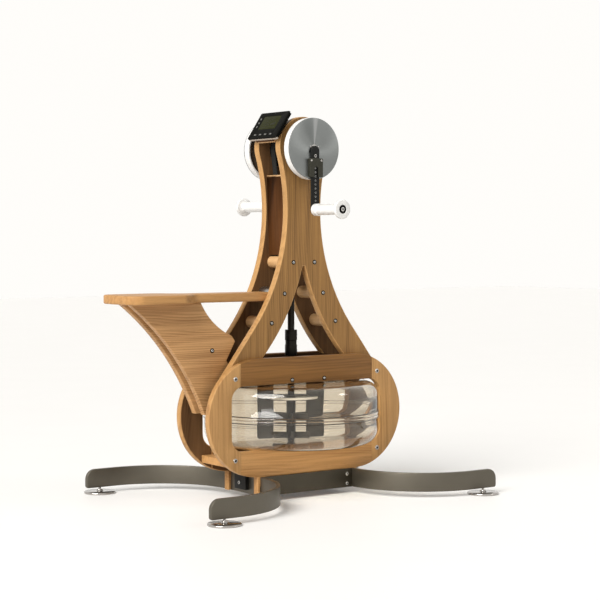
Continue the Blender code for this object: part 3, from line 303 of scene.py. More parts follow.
def board(
    outline: Array, low: float, high: float, edge: float, lay: Lay = Lay.UPRIGHT,
    holes: tuple[Array, ...] = (), rounds: int = 3,
) -> Surface:
    """A plate: its outline carried through the thickness, with a quarter round of one radius on each arris.

    At angle t of the round, the outline moves edge (1 - sin t) inwards and edge (1 - cos t) off the face.

    Args:
        outline: Closed outer outline.
        low: Lower face's place along the thickness.
        high: Upper face's place.
        edge: Radius of the arrises.
        lay: The plane of the outline.
        holes: Closed outlines of the openings.
        rounds: Steps in each quarter round.

    Returns:
        The closed surface, its two faces marked flat.
    """
    t = np.linspace(0, pi / 2, rounds + 1)
    inwards = edge * (1 - np.sin(t))
    inwards = np.concatenate((inwards, inwards[::-1]))
    heights = np.concatenate((low + edge * (1 - np.cos(t)), high - edge * (1 - np.cos(t[::-1]))))
    rings = [turned_left(outline, True)] + [turned_left(hole, False) for hole in holes]
    points: list[Array] = []
    faces: list[list[int]] = []
    starts: list[int] = []
    start = 0
    for ring in rings:
        count = len(ring)
        flat_points = ring[None] + leftward(ring)[None] * inwards[:, None, None]
        level = np.broadcast_to(heights[:, None, None], (len(heights), count, 1))
        points.append(np.concatenate((flat_points, level), axis=2).reshape(-1, 3))
        faces += grid_faces(len(heights), count, False, start)
        starts.append(start)
        start += len(heights) * count
    stacked = np.vstack(points)
    walls = len(faces)
    for row in (0, len(heights) - 1):
        index = [np.arange(len(ring)) + s + row * len(ring) for ring, s in zip(rings, starts)]
        lookup = np.concatenate(index)
        triangles = tessellate_polygon([stacked[i].tolist() for i in index])
        faces += lookup[np.array(triangles, int)].tolist()
    if lay is Lay.UPRIGHT:
        stacked = stacked[:, (0, 2, 1)]
    return Surface(stacked, faces, [False] * walls + [True] * (len(faces) - walls))


def skin(outline: Array, face: float, inset: float = 0.0024) -> Surface:
    """A thin sheet, a little smaller than a board's face and just proud of it, in a darker tone that paints
    shade onto the face.
    """
    ring = turned_left(outline, True)
    inner = ring + leftward(ring) * inset
    return board(inner, face - SKIN_RISE, face + SKIN_RISE, 0.3 * SKIN_RISE, rounds=1)


def side_board(
    outline: Array, side: int, near: float, far: float, edge: float, holes: tuple[Array, ...] = ()
) -> Surface:
    """An upright board on one side of the machine, between two distances from its middle plane."""
    low, high = sorted((side * near, side * far))
    return board(outline, low, high, edge, holes=holes)


def mark(outline: Array, low: float, high: float, edge: float = 0.00003) -> Surface:
    """A thin level sheet for a printed mark."""
    return board(outline, low, high, edge, Lay.LEVEL, rounds=1)


def ring_section(inner: float, outer: float, low: float, high: float) -> Array:
    """Profile of a ring with a rectangular section."""
    return np.array(((inner, low), (outer, low), (outer, high), (inner, high)))


def lathe(
    profile: Array, steps: int = 64, along: str = "Z", centre: Point = (0.0, 0.0, 0.0), side: int = 1
) -> Surface:
    """A surface of revolution: (r cos a, r sin a, h) for each profile point (r, h) and angle a.

    Args:
        profile: Closed profile of (radius, along) points.
        steps: Number of steps round the axis.
        along: Axis, Y or Z.
        centre: A point on the axis.
        side: -1 reflects the profile along the axis.

    Returns:
        The closed surface.
    """
    angle = np.linspace(0, tau, steps, endpoint=False)
    flat_x = profile[:, :1] * np.cos(angle)
    flat_y = profile[:, :1] * np.sin(angle)
    height = np.broadcast_to(side * profile[:, 1:], flat_x.shape)
    order = (flat_x, flat_y, height) if along == "Z" else (flat_x, height, flat_y)
    points = np.stack(order, axis=-1).reshape(-1, 3) + np.array(centre)
    faces = grid_faces(len(profile), steps, True)
    return Surface(points, faces, [False] * len(faces))


def rod(radius: float, low: float, high: float, edge: float = 0.001) -> Array:
    """Profile of a solid rod with chamfered ends."""
    inner = radius - edge
    foot = ((0, low), (inner, low), (radius, low + edge))
    return np.array((*foot, (radius, high - edge), (inner, high), (0, high)))


def socket_head(radius: float, height: float, socket: float, lift: float = 0.0) -> Surface:
    """A round screw head with a six-sided socket, its axis on Z and its seat at lift.

    Rings of points run from the seat over the round shoulder to the socket, whose radius at
    angle a is the hexagon's: socket cos 30 / cos((a mod 60) - 30).

    Args:
        radius: Radius of the head.
        height: Height of the head.
        socket: Corner radius of the socket.
        lift: Place of the seat along Z.

    Returns:
        The closed surface.
    """
    angle = np.linspace(0, tau, HEAD_STEPS, endpoint=False)
    hexagon = socket * cos(pi / 6) / np.cos(angle % (pi / 3) - pi / 6)
    ones = np.ones_like(angle)
    rings = [(0 * ones, 0.0), (radius * ones, 0.0)]
    rings += [(share * radius * ones, level) for share, level in HEAD_SHOULDER]
    rings += [(share * hexagon, level) for share, level in SOCKET_WALL]
    rings.append((0 * ones, SOCKET_FLOOR))
    reach = np.array([r for r, _ in rings])
    level = np.array([h for _, h in rings])[:, None] * height * ones + lift
    points = np.stack((reach * np.cos(angle), reach * np.sin(angle), level), axis=-1).reshape(-1, 3)
    faces = grid_faces(len(rings), len(angle), False)
    return Surface(points, faces, [False] * len(faces))


def facing(side: int, x: float, y: float, z: float) -> Matrix:
    """A transform that points +Z to the given side along Y and moves it to a place."""
    return Matrix.Translation((x, y, z)) @ Matrix.Rotation(-side * pi / 2, 4, "X")


def in_scene(name: str, data: object) -> bpy.types.Object:
    """A new object in the scene, at the origin."""
    thing = bpy.data.objects.new(name, data)
    bpy.context.scene.collection.objects.link(thing)
    return thing


# Finishes


class Sketch:
    """Adds nodes to a node tree and links them."""

    # Sockets of the Mix node when it mixes colours: factor, first and second colour, and the result
    MIX_INPUTS = (0, 6, 7)
    MIX_RESULT = 2

    def __init__(self, tree: Tree) -> None:
        """Keep the tree."""
        self.tree = tree

    def set_input(self, node: Node, name: str | int, value: object) -> None:
        """Link a socket to an input, or set the input's own value."""
        if isinstance(value, Socket):
            self.tree.links.new(value, node.inputs[name])
        elif isinstance(value, tuple) and len(value) == 3 and node.inputs[name].type == "RGBA":
            node.inputs[name].default_value = (*value, 1.0)
        else:
            node.inputs[name].default_value = value

    def add(self, kind: str, inputs: dict | None = None, **settings: object) -> Node:
        """Add one node.

        Args:
            kind: Node type without its ShaderNode prefix.
            inputs: Values or sockets by input name or number.
            settings: Properties of the node.

        Returns:
            The node.
        """
        node = self.tree.nodes.new(kind if kind.startswith("Node") else "ShaderNode" + kind)
        for name, value in settings.items():
            setattr(node, name, value)
        for name, value in (inputs or {}).items():
            self.set_input(node, name, value)
        return node

    def maths(self, operation: str, first: object, second: object = 0.0, clamp: bool = False) -> Socket:
        """One Math node's result."""
        return self.add("Math", {0: first, 1: second}, operation=operation, use_clamp=clamp).outputs[0]

    def times(self, first: object, second: object, clamp: bool = False) -> Socket:
        """first x second."""
        return self.maths("MULTIPLY", first, second, clamp)

    def plus(self, first: object, second: object, clamp: bool = False) -> Socket:
        """first + second."""
        return self.maths("ADD", first, second, clamp)

    def minus(self, first: object, second: object) -> Socket:
        """first - second."""
        return self.maths("SUBTRACT", first, second)

    def scaled(self, value: object, factor: float, shift: float, clamp: bool = False) -> Socket:
        """value x factor + shift."""
        return self.plus(self.times(value, factor), shift, clamp)

    def swung(self, value: object, swing: float, middle: float) -> Socket:
        """middle + (value - 0.5) x swing, kept between 0 and 1."""
        return self.scaled(self.minus(value, 0.5), swing, middle, True)

    def near(self, value: object, centre: float, far: float, close: float) -> Socket:
        """1 within close of a centre, falling to 0 at far."""
        return self.ramp(self.maths("ABSOLUTE", self.minus(value, centre)), far, close)

    def grey(self, value: object) -> Socket:
        """The grey of one value."""
        return self.add("CombineColor", {0: value, 1: value, 2: value}).outputs[0]

    def mix(self, share: object, first: object, second: object, blend: str = "MIX") -> Socket:
        """One colour Mix node's result."""
        node = self.add("Mix", None, data_type="RGBA", blend_type=blend)
        for index, value in zip(self.MIX_INPUTS, (share, first, second)):
            self.set_input(node, index, value)
        return node.outputs[self.MIX_RESULT]

    def stretched(self, vector: object, scale: Point, place: Point = (0.0, 0.0, 0.0)) -> Socket:
        """A vector scaled by axis and shifted."""
        return self.add("Mapping", {"Vector": vector, "Location": place, "Scale": scale}).outputs[0]

    def noise(self, vector: object, scale: float, detail: float = 2.0) -> Socket:
        """One Noise node's value."""
        return self.add("TexNoise", {"Vector": vector, "Scale": scale, "Detail": detail}).outputs[0]

    def ramp(self, value: object, low: float, high: float) -> Socket:
        """Map low..high to 0..1, smoothly and clamped."""
        inputs = {"Value": value, "From Min": low, "From Max": high}
        return self.add("MapRange", inputs, interpolation_type="SMOOTHSTEP").outputs[0]


class Effects:
    """Node groups that more than one material uses, each built once."""

    def __init__(self) -> None:
        """Build every group."""
        self.wood = self.build_wood()
        self.wear = self.build_wear()
        self.brushed = self.build_brushed()
        self.dust = self.build_dust()

    @staticmethod
    def start(name: str, inputs: dict[str, tuple[str, object]], outputs: dict[str, str]) -> tuple:
        """Make an empty group with its sockets.

        Args:
            name: The group's name.
            inputs: Socket kind and default by input name.
            outputs: Socket kind by output name.

        Returns:
            The tree, its sketch, the input node and the output node.
        """
        tree = bpy.data.node_groups.new(name, "ShaderNodeTree")
        for label, (kind, default) in inputs.items():
            socket = tree.interface.new_socket(label, in_out="INPUT", socket_type="NodeSocket" + kind)
            if default is not None:
                socket.default_value = default
        for label, kind in outputs.items():
            tree.interface.new_socket(label, in_out="OUTPUT", socket_type="NodeSocket" + kind)
        sketch = Sketch(tree)
        return tree, sketch, sketch.add("NodeGroupInput"), sketch.add("NodeGroupOutput")

    def build_wood(self) -> Tree:
        """Growth rings round a far pith, fibres and pores, all stretched along the grain."""
        colour = (0.5, 0.3, 0.1, 1.0)
        bend_scale, bend_reach = (2.0, 13.0, 13.0), 0.045
        pith_scale, pith_place = (0.05, 1.0, 0.55), (0.0, 0.19, 0.06)
        patch_scale, patch_place = (3.0, 24.0, 24.0), (0.5, 0.1, 0.9)
        fibre_scale = (9.0, 620.0, 620.0)
        streak_scale, streak_place = (3.0, 95.0, 95.0), (0.3, 0.7, 0.2)
        pore_scale, pore_colour = (55.0, 1500.0, 1500.0), (0.13, 0.07, 0.03)
        tree, s, given, result = self.start(
            "wood_grain",
            {"Vector": ("Vector", None), "Light": ("Color", colour), "Dark": ("Color", colour),
             "Ring Width": ("Float", 0.008), "Contrast": ("Float", 0.6)},
            {"Color": "Color", "Roughness": "Float", "Height": "Float"},
        )
        vector = given.outputs["Vector"]
        slow = s.noise(s.stretched(vector, bend_scale), 1.0, 2.0)
        bend = s.times(s.minus(slow, 0.5), bend_reach)
        parts = s.add("SeparateXYZ", {0: s.stretched(vector, pith_scale, pith_place)})
        along, across, through = parts.outputs
        square = s.plus(s.maths("POWER", across, 2.0), s.maths("POWER", through, 2.0))
        lean = s.plus(s.maths("SQRT", square), along)
        rings = s.maths("DIVIDE", s.plus(lean, bend), given.outputs["Ring Width"])
        saw = s.maths("FRACT", rings)
        late = s.times(s.ramp(saw, 0.1, 0.8), s.minus(1.0, s.ramp(saw, 0.8, 1.0)))
        patch = s.ramp(s.noise(s.stretched(vector, patch_scale, patch_place), 1.0, 2.0), 0.36, 0.62)
        late = s.times(late, patch)
        fibre = s.noise(s.stretched(vector, fibre_scale), 1.0, 3.0)
        streak = s.noise(s.stretched(vector, streak_scale, streak_place), 1.0, 2.0)
        pore = s.ramp(s.noise(s.stretched(vector, pore_scale), 1.0, 1.0), 0.66, 0.74)
        share = s.times(late, given.outputs["Contrast"])
        share = s.plus(share, s.times(s.minus(fibre, 0.45), 0.5))
        share = s.plus(share, s.times(s.minus(streak, 0.38), 1.3), True)
        tone = s.mix(share, given.outputs["Light"], given.outputs["Dark"])
        tone = s.mix(s.times(pore, 0.45), tone, pore_colour)
        tone = s.mix(1.0, tone, s.grey(s.scaled(slow, 0.34, 0.83)), "MULTIPLY")
        s.set_input(result, "Color", tone)
        s.set_input(result, "Roughness", s.scaled(fibre, 0.22, 0.36))
        relief = s.minus(s.times(fibre, 0.5), s.times(pore, 0.8))
        s.set_input(result, "Height", s.minus(relief, s.times(late, 0.3)))
        return tree

    def build_wear(self) -> Tree:
        """A mask of arrises: how far the rounded normal leans from the true one, broken up by noise."""
        tree, s, given, result = self.start(
            "edge_wear",
            {"Vector": ("Vector", None), "Radius": ("Float", 0.002), "Amount": ("Float", 1.0)},
            {"Mask": "Float"},
        )
        rounded = s.add("Bevel", {"Radius": given.outputs["Radius"]}, samples=4).outputs[0]
        normal = s.add("NewGeometry").outputs["Normal"]
        dot = s.add("VectorMath", {0: rounded, 1: normal}, operation="DOT_PRODUCT").outputs["Value"]
        lean = s.ramp(s.minus(1.0, dot), 0.02, 0.22)
        patch = s.ramp(s.noise(given.outputs["Vector"], 70.0, 3.0), 0.35, 0.65)
        mask = s.times(lean, s.scaled(patch, 0.6, 0.4))
        s.set_input(result, "Mask", s.times(mask, given.outputs["Amount"], True))
        return tree

    def build_brushed(self) -> Tree:
        """Fine streaks along one axis, as a value round a half."""
        tree, s, given, result = self.start(
            "brushed_streaks",
            {"Vector": ("Vector", None), "Along": ("Float", 6.0), "Across": ("Float", 900.0)},
            {"Value": "Float", "Broad": "Float"},
        )
        along, across = given.outputs["Along"], given.outputs["Across"]
        scale = s.add("CombineXYZ", {0: along, 1: along, 2: across})
        inputs = {0: given.outputs["Vector"], 1: scale.outputs[0]}
        vector = s.add("VectorMath", inputs, operation="MULTIPLY").outputs[0]
        s.set_input(result, "Value", s.noise(vector, 1.0, 3.0))
        s.set_input(result, "Broad", s.noise(given.outputs["Vector"], 14.0, 2.0))
        return tree

    def build_dust(self) -> Tree:
        """Fine specks and broad cloudiness for moulded and painted surfaces."""
        tree, s, given, result = self.start(
            "dust_specks",
            {"Vector": ("Vector", None), "Scale": ("Float", 900.0)},
            {"Specks": "Float", "Cloud": "Float"},
        )
        vector = given.outputs["Vector"]
        specks = s.add("TexNoise", {"Vector": vector, "Scale": given.outputs["Scale"]}).outputs[0]
        s.set_input(result, "Specks", specks)
        s.set_input(result, "Cloud", s.noise(vector, 22.0, 3.0))
        return tree


def new_material(name: str) -> tuple[Material, Sketch, Node]:
    """A new material with its sketch and its Principled shader."""
    material = bpy.data.materials.new(name)
    material.use_nodes = True
    return material, Sketch(material.node_tree), material.node_tree.nodes["Principled BSDF"]


@dataclass(frozen=True)
class Finish:
    """A finish: its name and the record's slot that it belongs to."""

    name: str
    slot: str

    def begin(self) -> tuple[Material, Sketch, Node, Socket]:
        """Start a material: itself, its sketch, its shader and the object coordinates."""
        material, sketch, shader = new_material(self.name)
        return material, sketch, shader, sketch.add("TexCoord").outputs["Object"]

    def group(self, sketch: Sketch, tree: Tree, inputs: dict) -> Node:
        """Place one shared group in a material."""
        node = sketch.add("Group", None, node_tree=tree)
        for name, value in inputs.items():
            sketch.set_input(node, name, value)
        return node

    def bump(self, sketch: Sketch, shader: Node, height: object, strength: float, depth: float) -> None:
        """Give a shader its fine relief."""
        inputs = {"Height": height, "Strength": strength, "Distance": depth}
        sketch.set_input(shader, "Normal", sketch.add("Bump", inputs).outputs[0])


@dataclass(frozen=True)
class WoodFinish(Finish):
    """Oiled or stained wood whose grain follows each board."""

    light: Colour
    dark: Colour
    worn: Colour
    ring_width: float = 0.008
    contrast: float = 0.35
    specular: float = 0.25

    def material(self, effects: Effects) -> Material:
        """Build the wood."""
        made, s, shader, place = self.begin()
        grain = s.add("Attribute", None, attribute_name="grain").outputs["Vector"]
        inputs = {"Vector": grain, "Light": self.light, "Dark": self.dark,
                  "Ring Width": self.ring_width, "Contrast": self.contrast}
        wood = self.group(s, effects.wood, inputs)
        wear = self.group(s, effects.wear, {"Vector": place, "Radius": 0.0025, "Amount": 0.55})
        s.set_input(shader, "Base Color", s.mix(wear.outputs[0], wood.outputs["Color"], self.worn))
        s.set_input(shader, "Roughness", wood.outputs["Roughness"])
        shader.inputs["Specular IOR Level"].default_value = self.specular
        self.bump(s, shader, wood.outputs["Height"], 0.25, 0.0004)
        return made


@dataclass(frozen=True)
class MetalFinish(Finish):
    """Bare or coated metal with fine streaks and worn arrises.

    Each painted wedge, one of shade and one of highlight, is given by its middle, its outer and its inner
    half angle, in radians from upright.
    """

    colour: Colour
    worn: Colour
    roughness: float
    metallic: float = 1.0
    streak: float = 0.15
    across: float = 900.0
    anisotropy: float = 0.0
    # Colour of the wedge of painted shade
    shade: Colour = (0.1, 0.11, 0.105)
    painted_shade_wedge: Point = (-0.35, 0.42, 0.05)
    painted_highlight_wedge: Point = (0.06, 0.15, 0.03)
    specular: float = 0.3

    def material(self, effects: Effects) -> Material:
        """Build the metal."""
        made, s, shader, place = self.begin()
        lines = self.group(s, effects.brushed, {"Vector": place, "Across": self.across})
        wear = self.group(s, effects.wear, {"Vector": place, "Radius": 0.0012, "Amount": 0.7})
        tint = s.grey(s.scaled(lines.outputs["Broad"], 0.24, 0.88))
        base = s.mix(1.0, s.mix(wear.outputs[0], self.colour, self.worn), tint, "MULTIPLY")
        s.set_input(shader, "Roughness", s.swung(lines.outputs["Value"], self.streak, self.roughness))
        shader.inputs["Metallic"].default_value = self.metallic
        shader.inputs["Specular IOR Level"].default_value = self.specular
        if self.anisotropy:
            # An anisotropic metal also gets wedges of painted shade and painted highlight round the crank's
            # axis
            base = self.painted_sheen(s, place, base)
            shader.inputs["Anisotropic"].default_value = self.anisotropy
            turned = s.add("Tangent", None, direction_type="RADIAL", axis="Y").outputs[0]
            s.set_input(shader, "Tangent", turned)
        s.set_input(shader, "Base Color", base)
        self.bump(s, shader, lines.outputs["Value"], 0.12, 0.0001)
        return made

    def painted_sheen(self, s: Sketch, place: Socket, base: Socket) -> Socket:
        """A colour with a wedge of painted shade and a wedge of painted highlight that fan out from the
        crank's axis.
        """
        parts = s.add("SeparateXYZ", {0: place})
        across = s.minus(parts.outputs[0], AXIS_X)
        up = s.minus(parts.outputs[2], CRANK_HEIGHT)
        angle = s.maths("ARCTAN2", across, up)
        dull = s.near(angle, *self.painted_shade_wedge)
        bright = s.near(angle, *self.painted_highlight_wedge)
        # Painted shade in the dull wedge, and a painted highlight in the worn colour in the bright wedge
        base = s.mix(s.times(dull, 0.3), base, self.shade)
        return s.mix(s.times(bright, 0.42), base, self.worn)


@dataclass(frozen=True)
class PlasticFinish(Finish):
    """Moulded plastic or rubber with a fine skin and slightly worn arrises."""

    colour: Colour
    worn: Colour
    roughness: float
    grain: float = 900.0
    relief: float = 0.1
    coat: float = 0.0
    specular: float = 0.5

    def material(self, effects: Effects) -> Material:
        """Build the plastic."""
        made, s, shader, place = self.begin()
        dust = self.group(s, effects.dust, {"Vector": place, "Scale": self.grain})
        wear = self.group(s, effects.wear, {"Vector": place, "Radius": 0.001, "Amount": 0.6})
        cloud = dust.outputs["Cloud"]
        base = s.mix(wear.outputs[0], self.colour, self.worn)
        s.set_input(shader, "Base Color", s.mix(1.0, base, s.grey(s.scaled(cloud, 0.12, 0.94)), "MULTIPLY"))
        s.set_input(shader, "Roughness", s.swung(cloud, 0.16, self.roughness))
        shader.inputs["Coat Weight"].default_value = self.coat
        shader.inputs["Specular IOR Level"].default_value = self.specular
        self.bump(s, shader, dust.outputs["Specks"], self.relief, 0.00008)
        return made


@dataclass(frozen=True)
class ClearFinish(Finish):
    """Clear plastic: transmission with faint waviness; light passes through for shadows."""

    colour: Colour
    ior: float
    roughness: float = 0.02
    ripple: float = 0.05
    shade: Colour = (0.86, 0.86, 0.84)

    def material(self, effects: Effects) -> Material:
        """Build the clear finish."""
        made, s, shader, place = self.begin()
        dust = self.group(s, effects.dust, {"Vector": place, "Scale": 60.0})
        shader.inputs["Base Color"].default_value = (*self.colour, 1.0)
        shader.inputs["IOR"].default_value = self.ior
        shader.inputs["Transmission Weight"].default_value = 1.0
        s.set_input(shader, "Roughness", s.times(dust.outputs["Cloud"], self.roughness))
        self.bump(s, shader, dust.outputs["Cloud"], self.ripple, 0.002)
        clear = s.add("BsdfTransparent", {"Color": self.shade}).outputs[0]
        shadow = s.add("LightPath").outputs["Is Shadow Ray"]
        both = s.add("MixShader", {0: shadow, 1: shader.outputs[0], 2: clear}).outputs[0]
        s.set_input(made.node_tree.nodes["Material Output"], "Surface", both)
        return made


# Painted shade: a darker copy of the plates' oak, for the skins on the plates' outer faces
PAINTED_SHADE_FACE_OAK = WoodFinish("painted_shade_face_oak", "oak", (0.35, 0.186, 0.06), (0.13, 0.062, 0.02), (0.55, 0.36, 0.17))
PLATE_OAK = WoodFinish("plate_edge_oak", "oak", (0.55, 0.31, 0.118), (0.32, 0.165, 0.058), (0.55, 0.36, 0.17))
OAK = WoodFinish("light_oak", "oak", (0.52, 0.278, 0.102), (0.27, 0.125, 0.04), (0.66, 0.43, 0.21))
# Painted shade: the top rails get a darker copy of the bottom rails' oak
PAINTED_SHADE_RAIL_OAK = WoodFinish("painted_shade_rail_oak", "oak", (0.255, 0.12, 0.034), (0.11, 0.048, 0.014), (0.44, 0.27, 0.12))
OAK_EDGE = WoodFinish(
    "oak_end_boards", "oak", (0.53, 0.298, 0.114), (0.27, 0.128, 0.044), (0.66, 0.44, 0.23), ring_width=0.0105
)
PANEL_OAK = WoodFinish(
    "figured_oak", "oak", (0.57, 0.32, 0.135), (0.28, 0.135, 0.048), (0.68, 0.45, 0.23),
    ring_width=0.0065, contrast=0.55,
)
# Pale oak: the dowels' own colour, and painted highlight on the belt cover's top strip and the console
# block's pale layer
PALE_OAK_AND_PAINTED_HIGHLIGHT = WoodFinish(
    "pale_oak_and_painted_highlight", "oak", (0.68, 0.42, 0.2), (0.46, 0.25, 0.1), (0.74, 0.5, 0.29), ring_width=0.005
)
# Painted shade: a dark copy of the oak for the skins on the inner faces between the two sides
PAINTED_SHADE_INNER_OAK = WoodFinish(
    "shaded_inner_oak", "oak", (0.16, 0.083, 0.036), (0.07, 0.036, 0.016), (0.3, 0.17, 0.08), specular=0.05
)
# Painted shade: a near-black copy of the oak for the belt cover and the console block's dark layer
PAINTED_SHADE_COVER_WOOD = WoodFinish(
    "painted_shade_cover_board", "oak", (0.094, 0.035, 0.01), (0.042, 0.016, 0.006), (0.18, 0.08, 0.03), specular=0.05
)
DARK_BOARD = WoodFinish(
    "dark_deck_board", "dark_board", (0.055, 0.03, 0.016), (0.028, 0.015, 0.008), (0.12, 0.07, 0.04),
    specular=0.0,
)
SATIN_STEEL = MetalFinish(
    "satin_bar_steel", "satin_steel", (0.125, 0.112, 0.089), (0.24, 0.22, 0.19), 0.42, 0.85,
    streak=0.1, across=500.0,
)
# Painted shade: a darker copy of the bows' satin steel, for the side bands below the ovals
PAINTED_SHADE_BAND_STEEL = MetalFinish(
    "shaded_band_steel", "satin_steel", (0.066, 0.057, 0.042), (0.16, 0.145, 0.12), 0.44, 0.85,
    streak=0.1, across=500.0,
)
DARK_STEEL = MetalFinish("dark_oiled_steel", "dark_steel", (0.018, 0.016, 0.013), (0.1, 0.1, 0.09), 0.36, 0.9)
CHROME = MetalFinish("polished_chrome", "chrome", (0.4, 0.38, 0.36), (0.66, 0.65, 0.64), 0.12, streak=0.05)
BLACK_STEEL = MetalFinish(
    "black_powder_coat", "black_steel", (0.013, 0.013, 0.012), (0.09, 0.09, 0.08), 0.42, 0.25,
    streak=0.12, across=300.0, specular=0.15,
)
SLEEVE_STEEL = MetalFinish(
    "grey_guide_steel", "black_steel", (0.038, 0.037, 0.027), (0.13, 0.12, 0.1), 0.4, 0.5
)
STEEL = MetalFinish("plain_steel", "steel", (0.46, 0.45, 0.43), (0.66, 0.65, 0.63), 0.28)
# The turned face also carries painted shade and highlight wedges round the axle
DISC_METAL = MetalFinish(
    "turned_aluminium", "white_plastic", (0.225, 0.236, 0.232), (0.5, 0.5, 0.5), 0.34,
    streak=0.08, across=60.0, anisotropy=0.75,
)
# Painted shade: a dark skin in the white wheel's open back
PAINTED_SHADE_DISH = PlasticFinish(
    "shaded_wheel_back", "white_plastic", (0.11, 0.085, 0.06), (0.16, 0.13, 0.1), 0.6, specular=0.1
)
BLACK_PLASTIC = PlasticFinish(
    "black_moulding", "black_plastic", (0.008, 0.008, 0.007), (0.04, 0.04, 0.04), 0.3, specular=0.008
)
# Painted highlight: a pale strip along the black console's lower edge
PAINTED_HIGHLIGHT_STRIP = PlasticFinish("painted_highlight_strip", "black_plastic", (0.46, 0.4, 0.33), (0.55, 0.5, 0.44), 0.4)
WHITE_PLASTIC = PlasticFinish(
    "white_moulding", "white_plastic", (0.8, 0.792, 0.772), (0.84, 0.832, 0.815), 0.27, relief=0.04, coat=0.3
)
RUBBER = PlasticFinish(
    "black_rubber_skin", "black_rubber", (0.018, 0.018, 0.017), (0.06, 0.06, 0.06), 0.72,
    relief=0.25, specular=0.2,
)
ICON_GREY = PlasticFinish(
    "grey_key_mark", "black_rubber", (0.16, 0.16, 0.145), (0.2, 0.2, 0.18), 0.5, specular=0.2
)
BAFFLE_GREY = PlasticFinish("smoked_fin", "clear_plastic", (0.026, 0.022, 0.016), (0.08, 0.07, 0.06), 0.3)
SCREEN_GLASS = PlasticFinish(
    "olive_lcd_window", "screen", (0.03, 0.032, 0.013), (0.06, 0.06, 0.03), 0.2, relief=0.02, specular=0.01
)
SCREEN_MARK = PlasticFinish(
    "lcd_segments", "screen", (0.016, 0.016, 0.01), (0.02, 0.02, 0.015), 0.3, specular=0.1
)
CLEAR_TANK = ClearFinish("clear_tank_shell", "clear_plastic", (0.8, 0.742, 0.646), 1.46)


@dataclass(frozen=True)
class Grain:
    """How a board was cut: grain direction, and a seed that gives each board its own figure."""

    way: GrainWay
    seed: float = 0.0
    most_tilt: float = 2.0
    tilt_rate: float = 2.3
    reach: Point = (0.713, 0.041, 0.033)
    across_rate: float = 1.7

    def coordinates(self, points: Array) -> Array:
        """Grain coordinates: the axes reordered, tilted a little in the board, shifted by the seed."""
        ordered = points[:, self.way.value]
        tilt = radians(self.most_tilt * sin(self.seed * self.tilt_rate))
        along = ordered[:, 0] * cos(tilt) + ordered[:, 1] * sin(tilt)
        across = ordered[:, 1] * cos(tilt) - ordered[:, 0] * sin(tilt)
        swing = (self.seed, sin(self.seed * self.across_rate), cos(self.seed))
        return np.column_stack((along, across, ordered[:, 2])) + np.array(self.reach) * swing


class Workshop:
    """Holds the materials and turns surfaces into pieces that ride on a CAD body."""

    def __init__(self) -> None:
        """Build the node groups."""
        self.effects = Effects()
        self.materials: dict[Finish, Material] = {}
        self.count = 0

    def material(self, finish: Finish) -> Material:
        """A finish's material, built when it is first asked for."""
        if finish not in self.materials:
            self.materials[finish] = finish.material(self.effects)
        return self.materials[finish]

    def piece(
        self, name: str, body: str, parts: Parts, stands_for: tuple[str, ...] = (),
        grain: Grain | None = None, sharp: float = 38.0,
    ) -> bpy.types.Object:
        """Make one object at the origin, its place in its mesh.

        Args:
            name: The object's name.
            body: The CAD body that it rides on.
            parts: Surfaces with their finishes.
            stands_for: CAD nodes that it replaces.
            grain: Grain of a wooden piece.
            sharp: Angle in degrees above which an edge is shaded sharp.

        Returns:
            The object.
        """
        whole = together([surface for surface, _ in parts])
        points = whole.points + np.array((AXIS_X, 0.0, 0.0))
        mesh = bpy.data.meshes.new(name)
        mesh.from_pydata(points, [], whole.faces)
        finishes = list(dict.fromkeys(finish for _, finish in parts))
        for finish in finishes:
            mesh.materials.append(self.material(finish))
        index = np.concatenate([np.full(len(s.faces), finishes.index(f), np.int32) for s, f in parts])
        mesh.polygons.foreach_set("material_index", index)
        mesh.polygons.foreach_set("use_smooth", ~np.array(whole.flat))
        bm = bmesh.new()
        bm.from_mesh(mesh)
        bmesh.ops.remove_doubles(bm, verts=bm.verts, dist=WELD)
        bmesh.ops.recalc_face_normals(bm, faces=bm.faces)
        bm.to_mesh(mesh)
        bm.free()
        mesh.set_sharp_from_angle(angle=radians(sharp))
        if grain:
            place = np.zeros(len(mesh.vertices) * 3)
            mesh.vertices.foreach_get("co", place)
            figure = grain.coordinates(place.reshape(-1, 3)).astype(np.float32)
            attribute = mesh.attributes.new("grain", "FLOAT_VECTOR", "POINT")
            attribute.data.foreach_set("vector", figure.ravel())
        thing = in_scene(name, mesh)
        if stands_for:
            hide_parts(*stands_for)
        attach(thing, body)
        self.count += 1
        LOG.info("piece %s on %s: %d faces", name, body, len(mesh.polygons))
        return thing

    def wooden(self, node: str, parts: Parts, way: GrainWay, seed: float) -> None:
        """A wooden piece on the frame that stands for one CAD node."""
        self.piece(f"{node}_wood", "frame", parts, (node,), Grain(way, seed))

    def dress(self, node: str, finish: Finish) -> None:
        """Give a CAD node that stays in view a finish of its own."""
        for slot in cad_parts[node].material_slots:
            slot.material = self.material(finish)
        LOG.info("CAD node %s wears %s", node, finish.name)


# Sub-assemblies


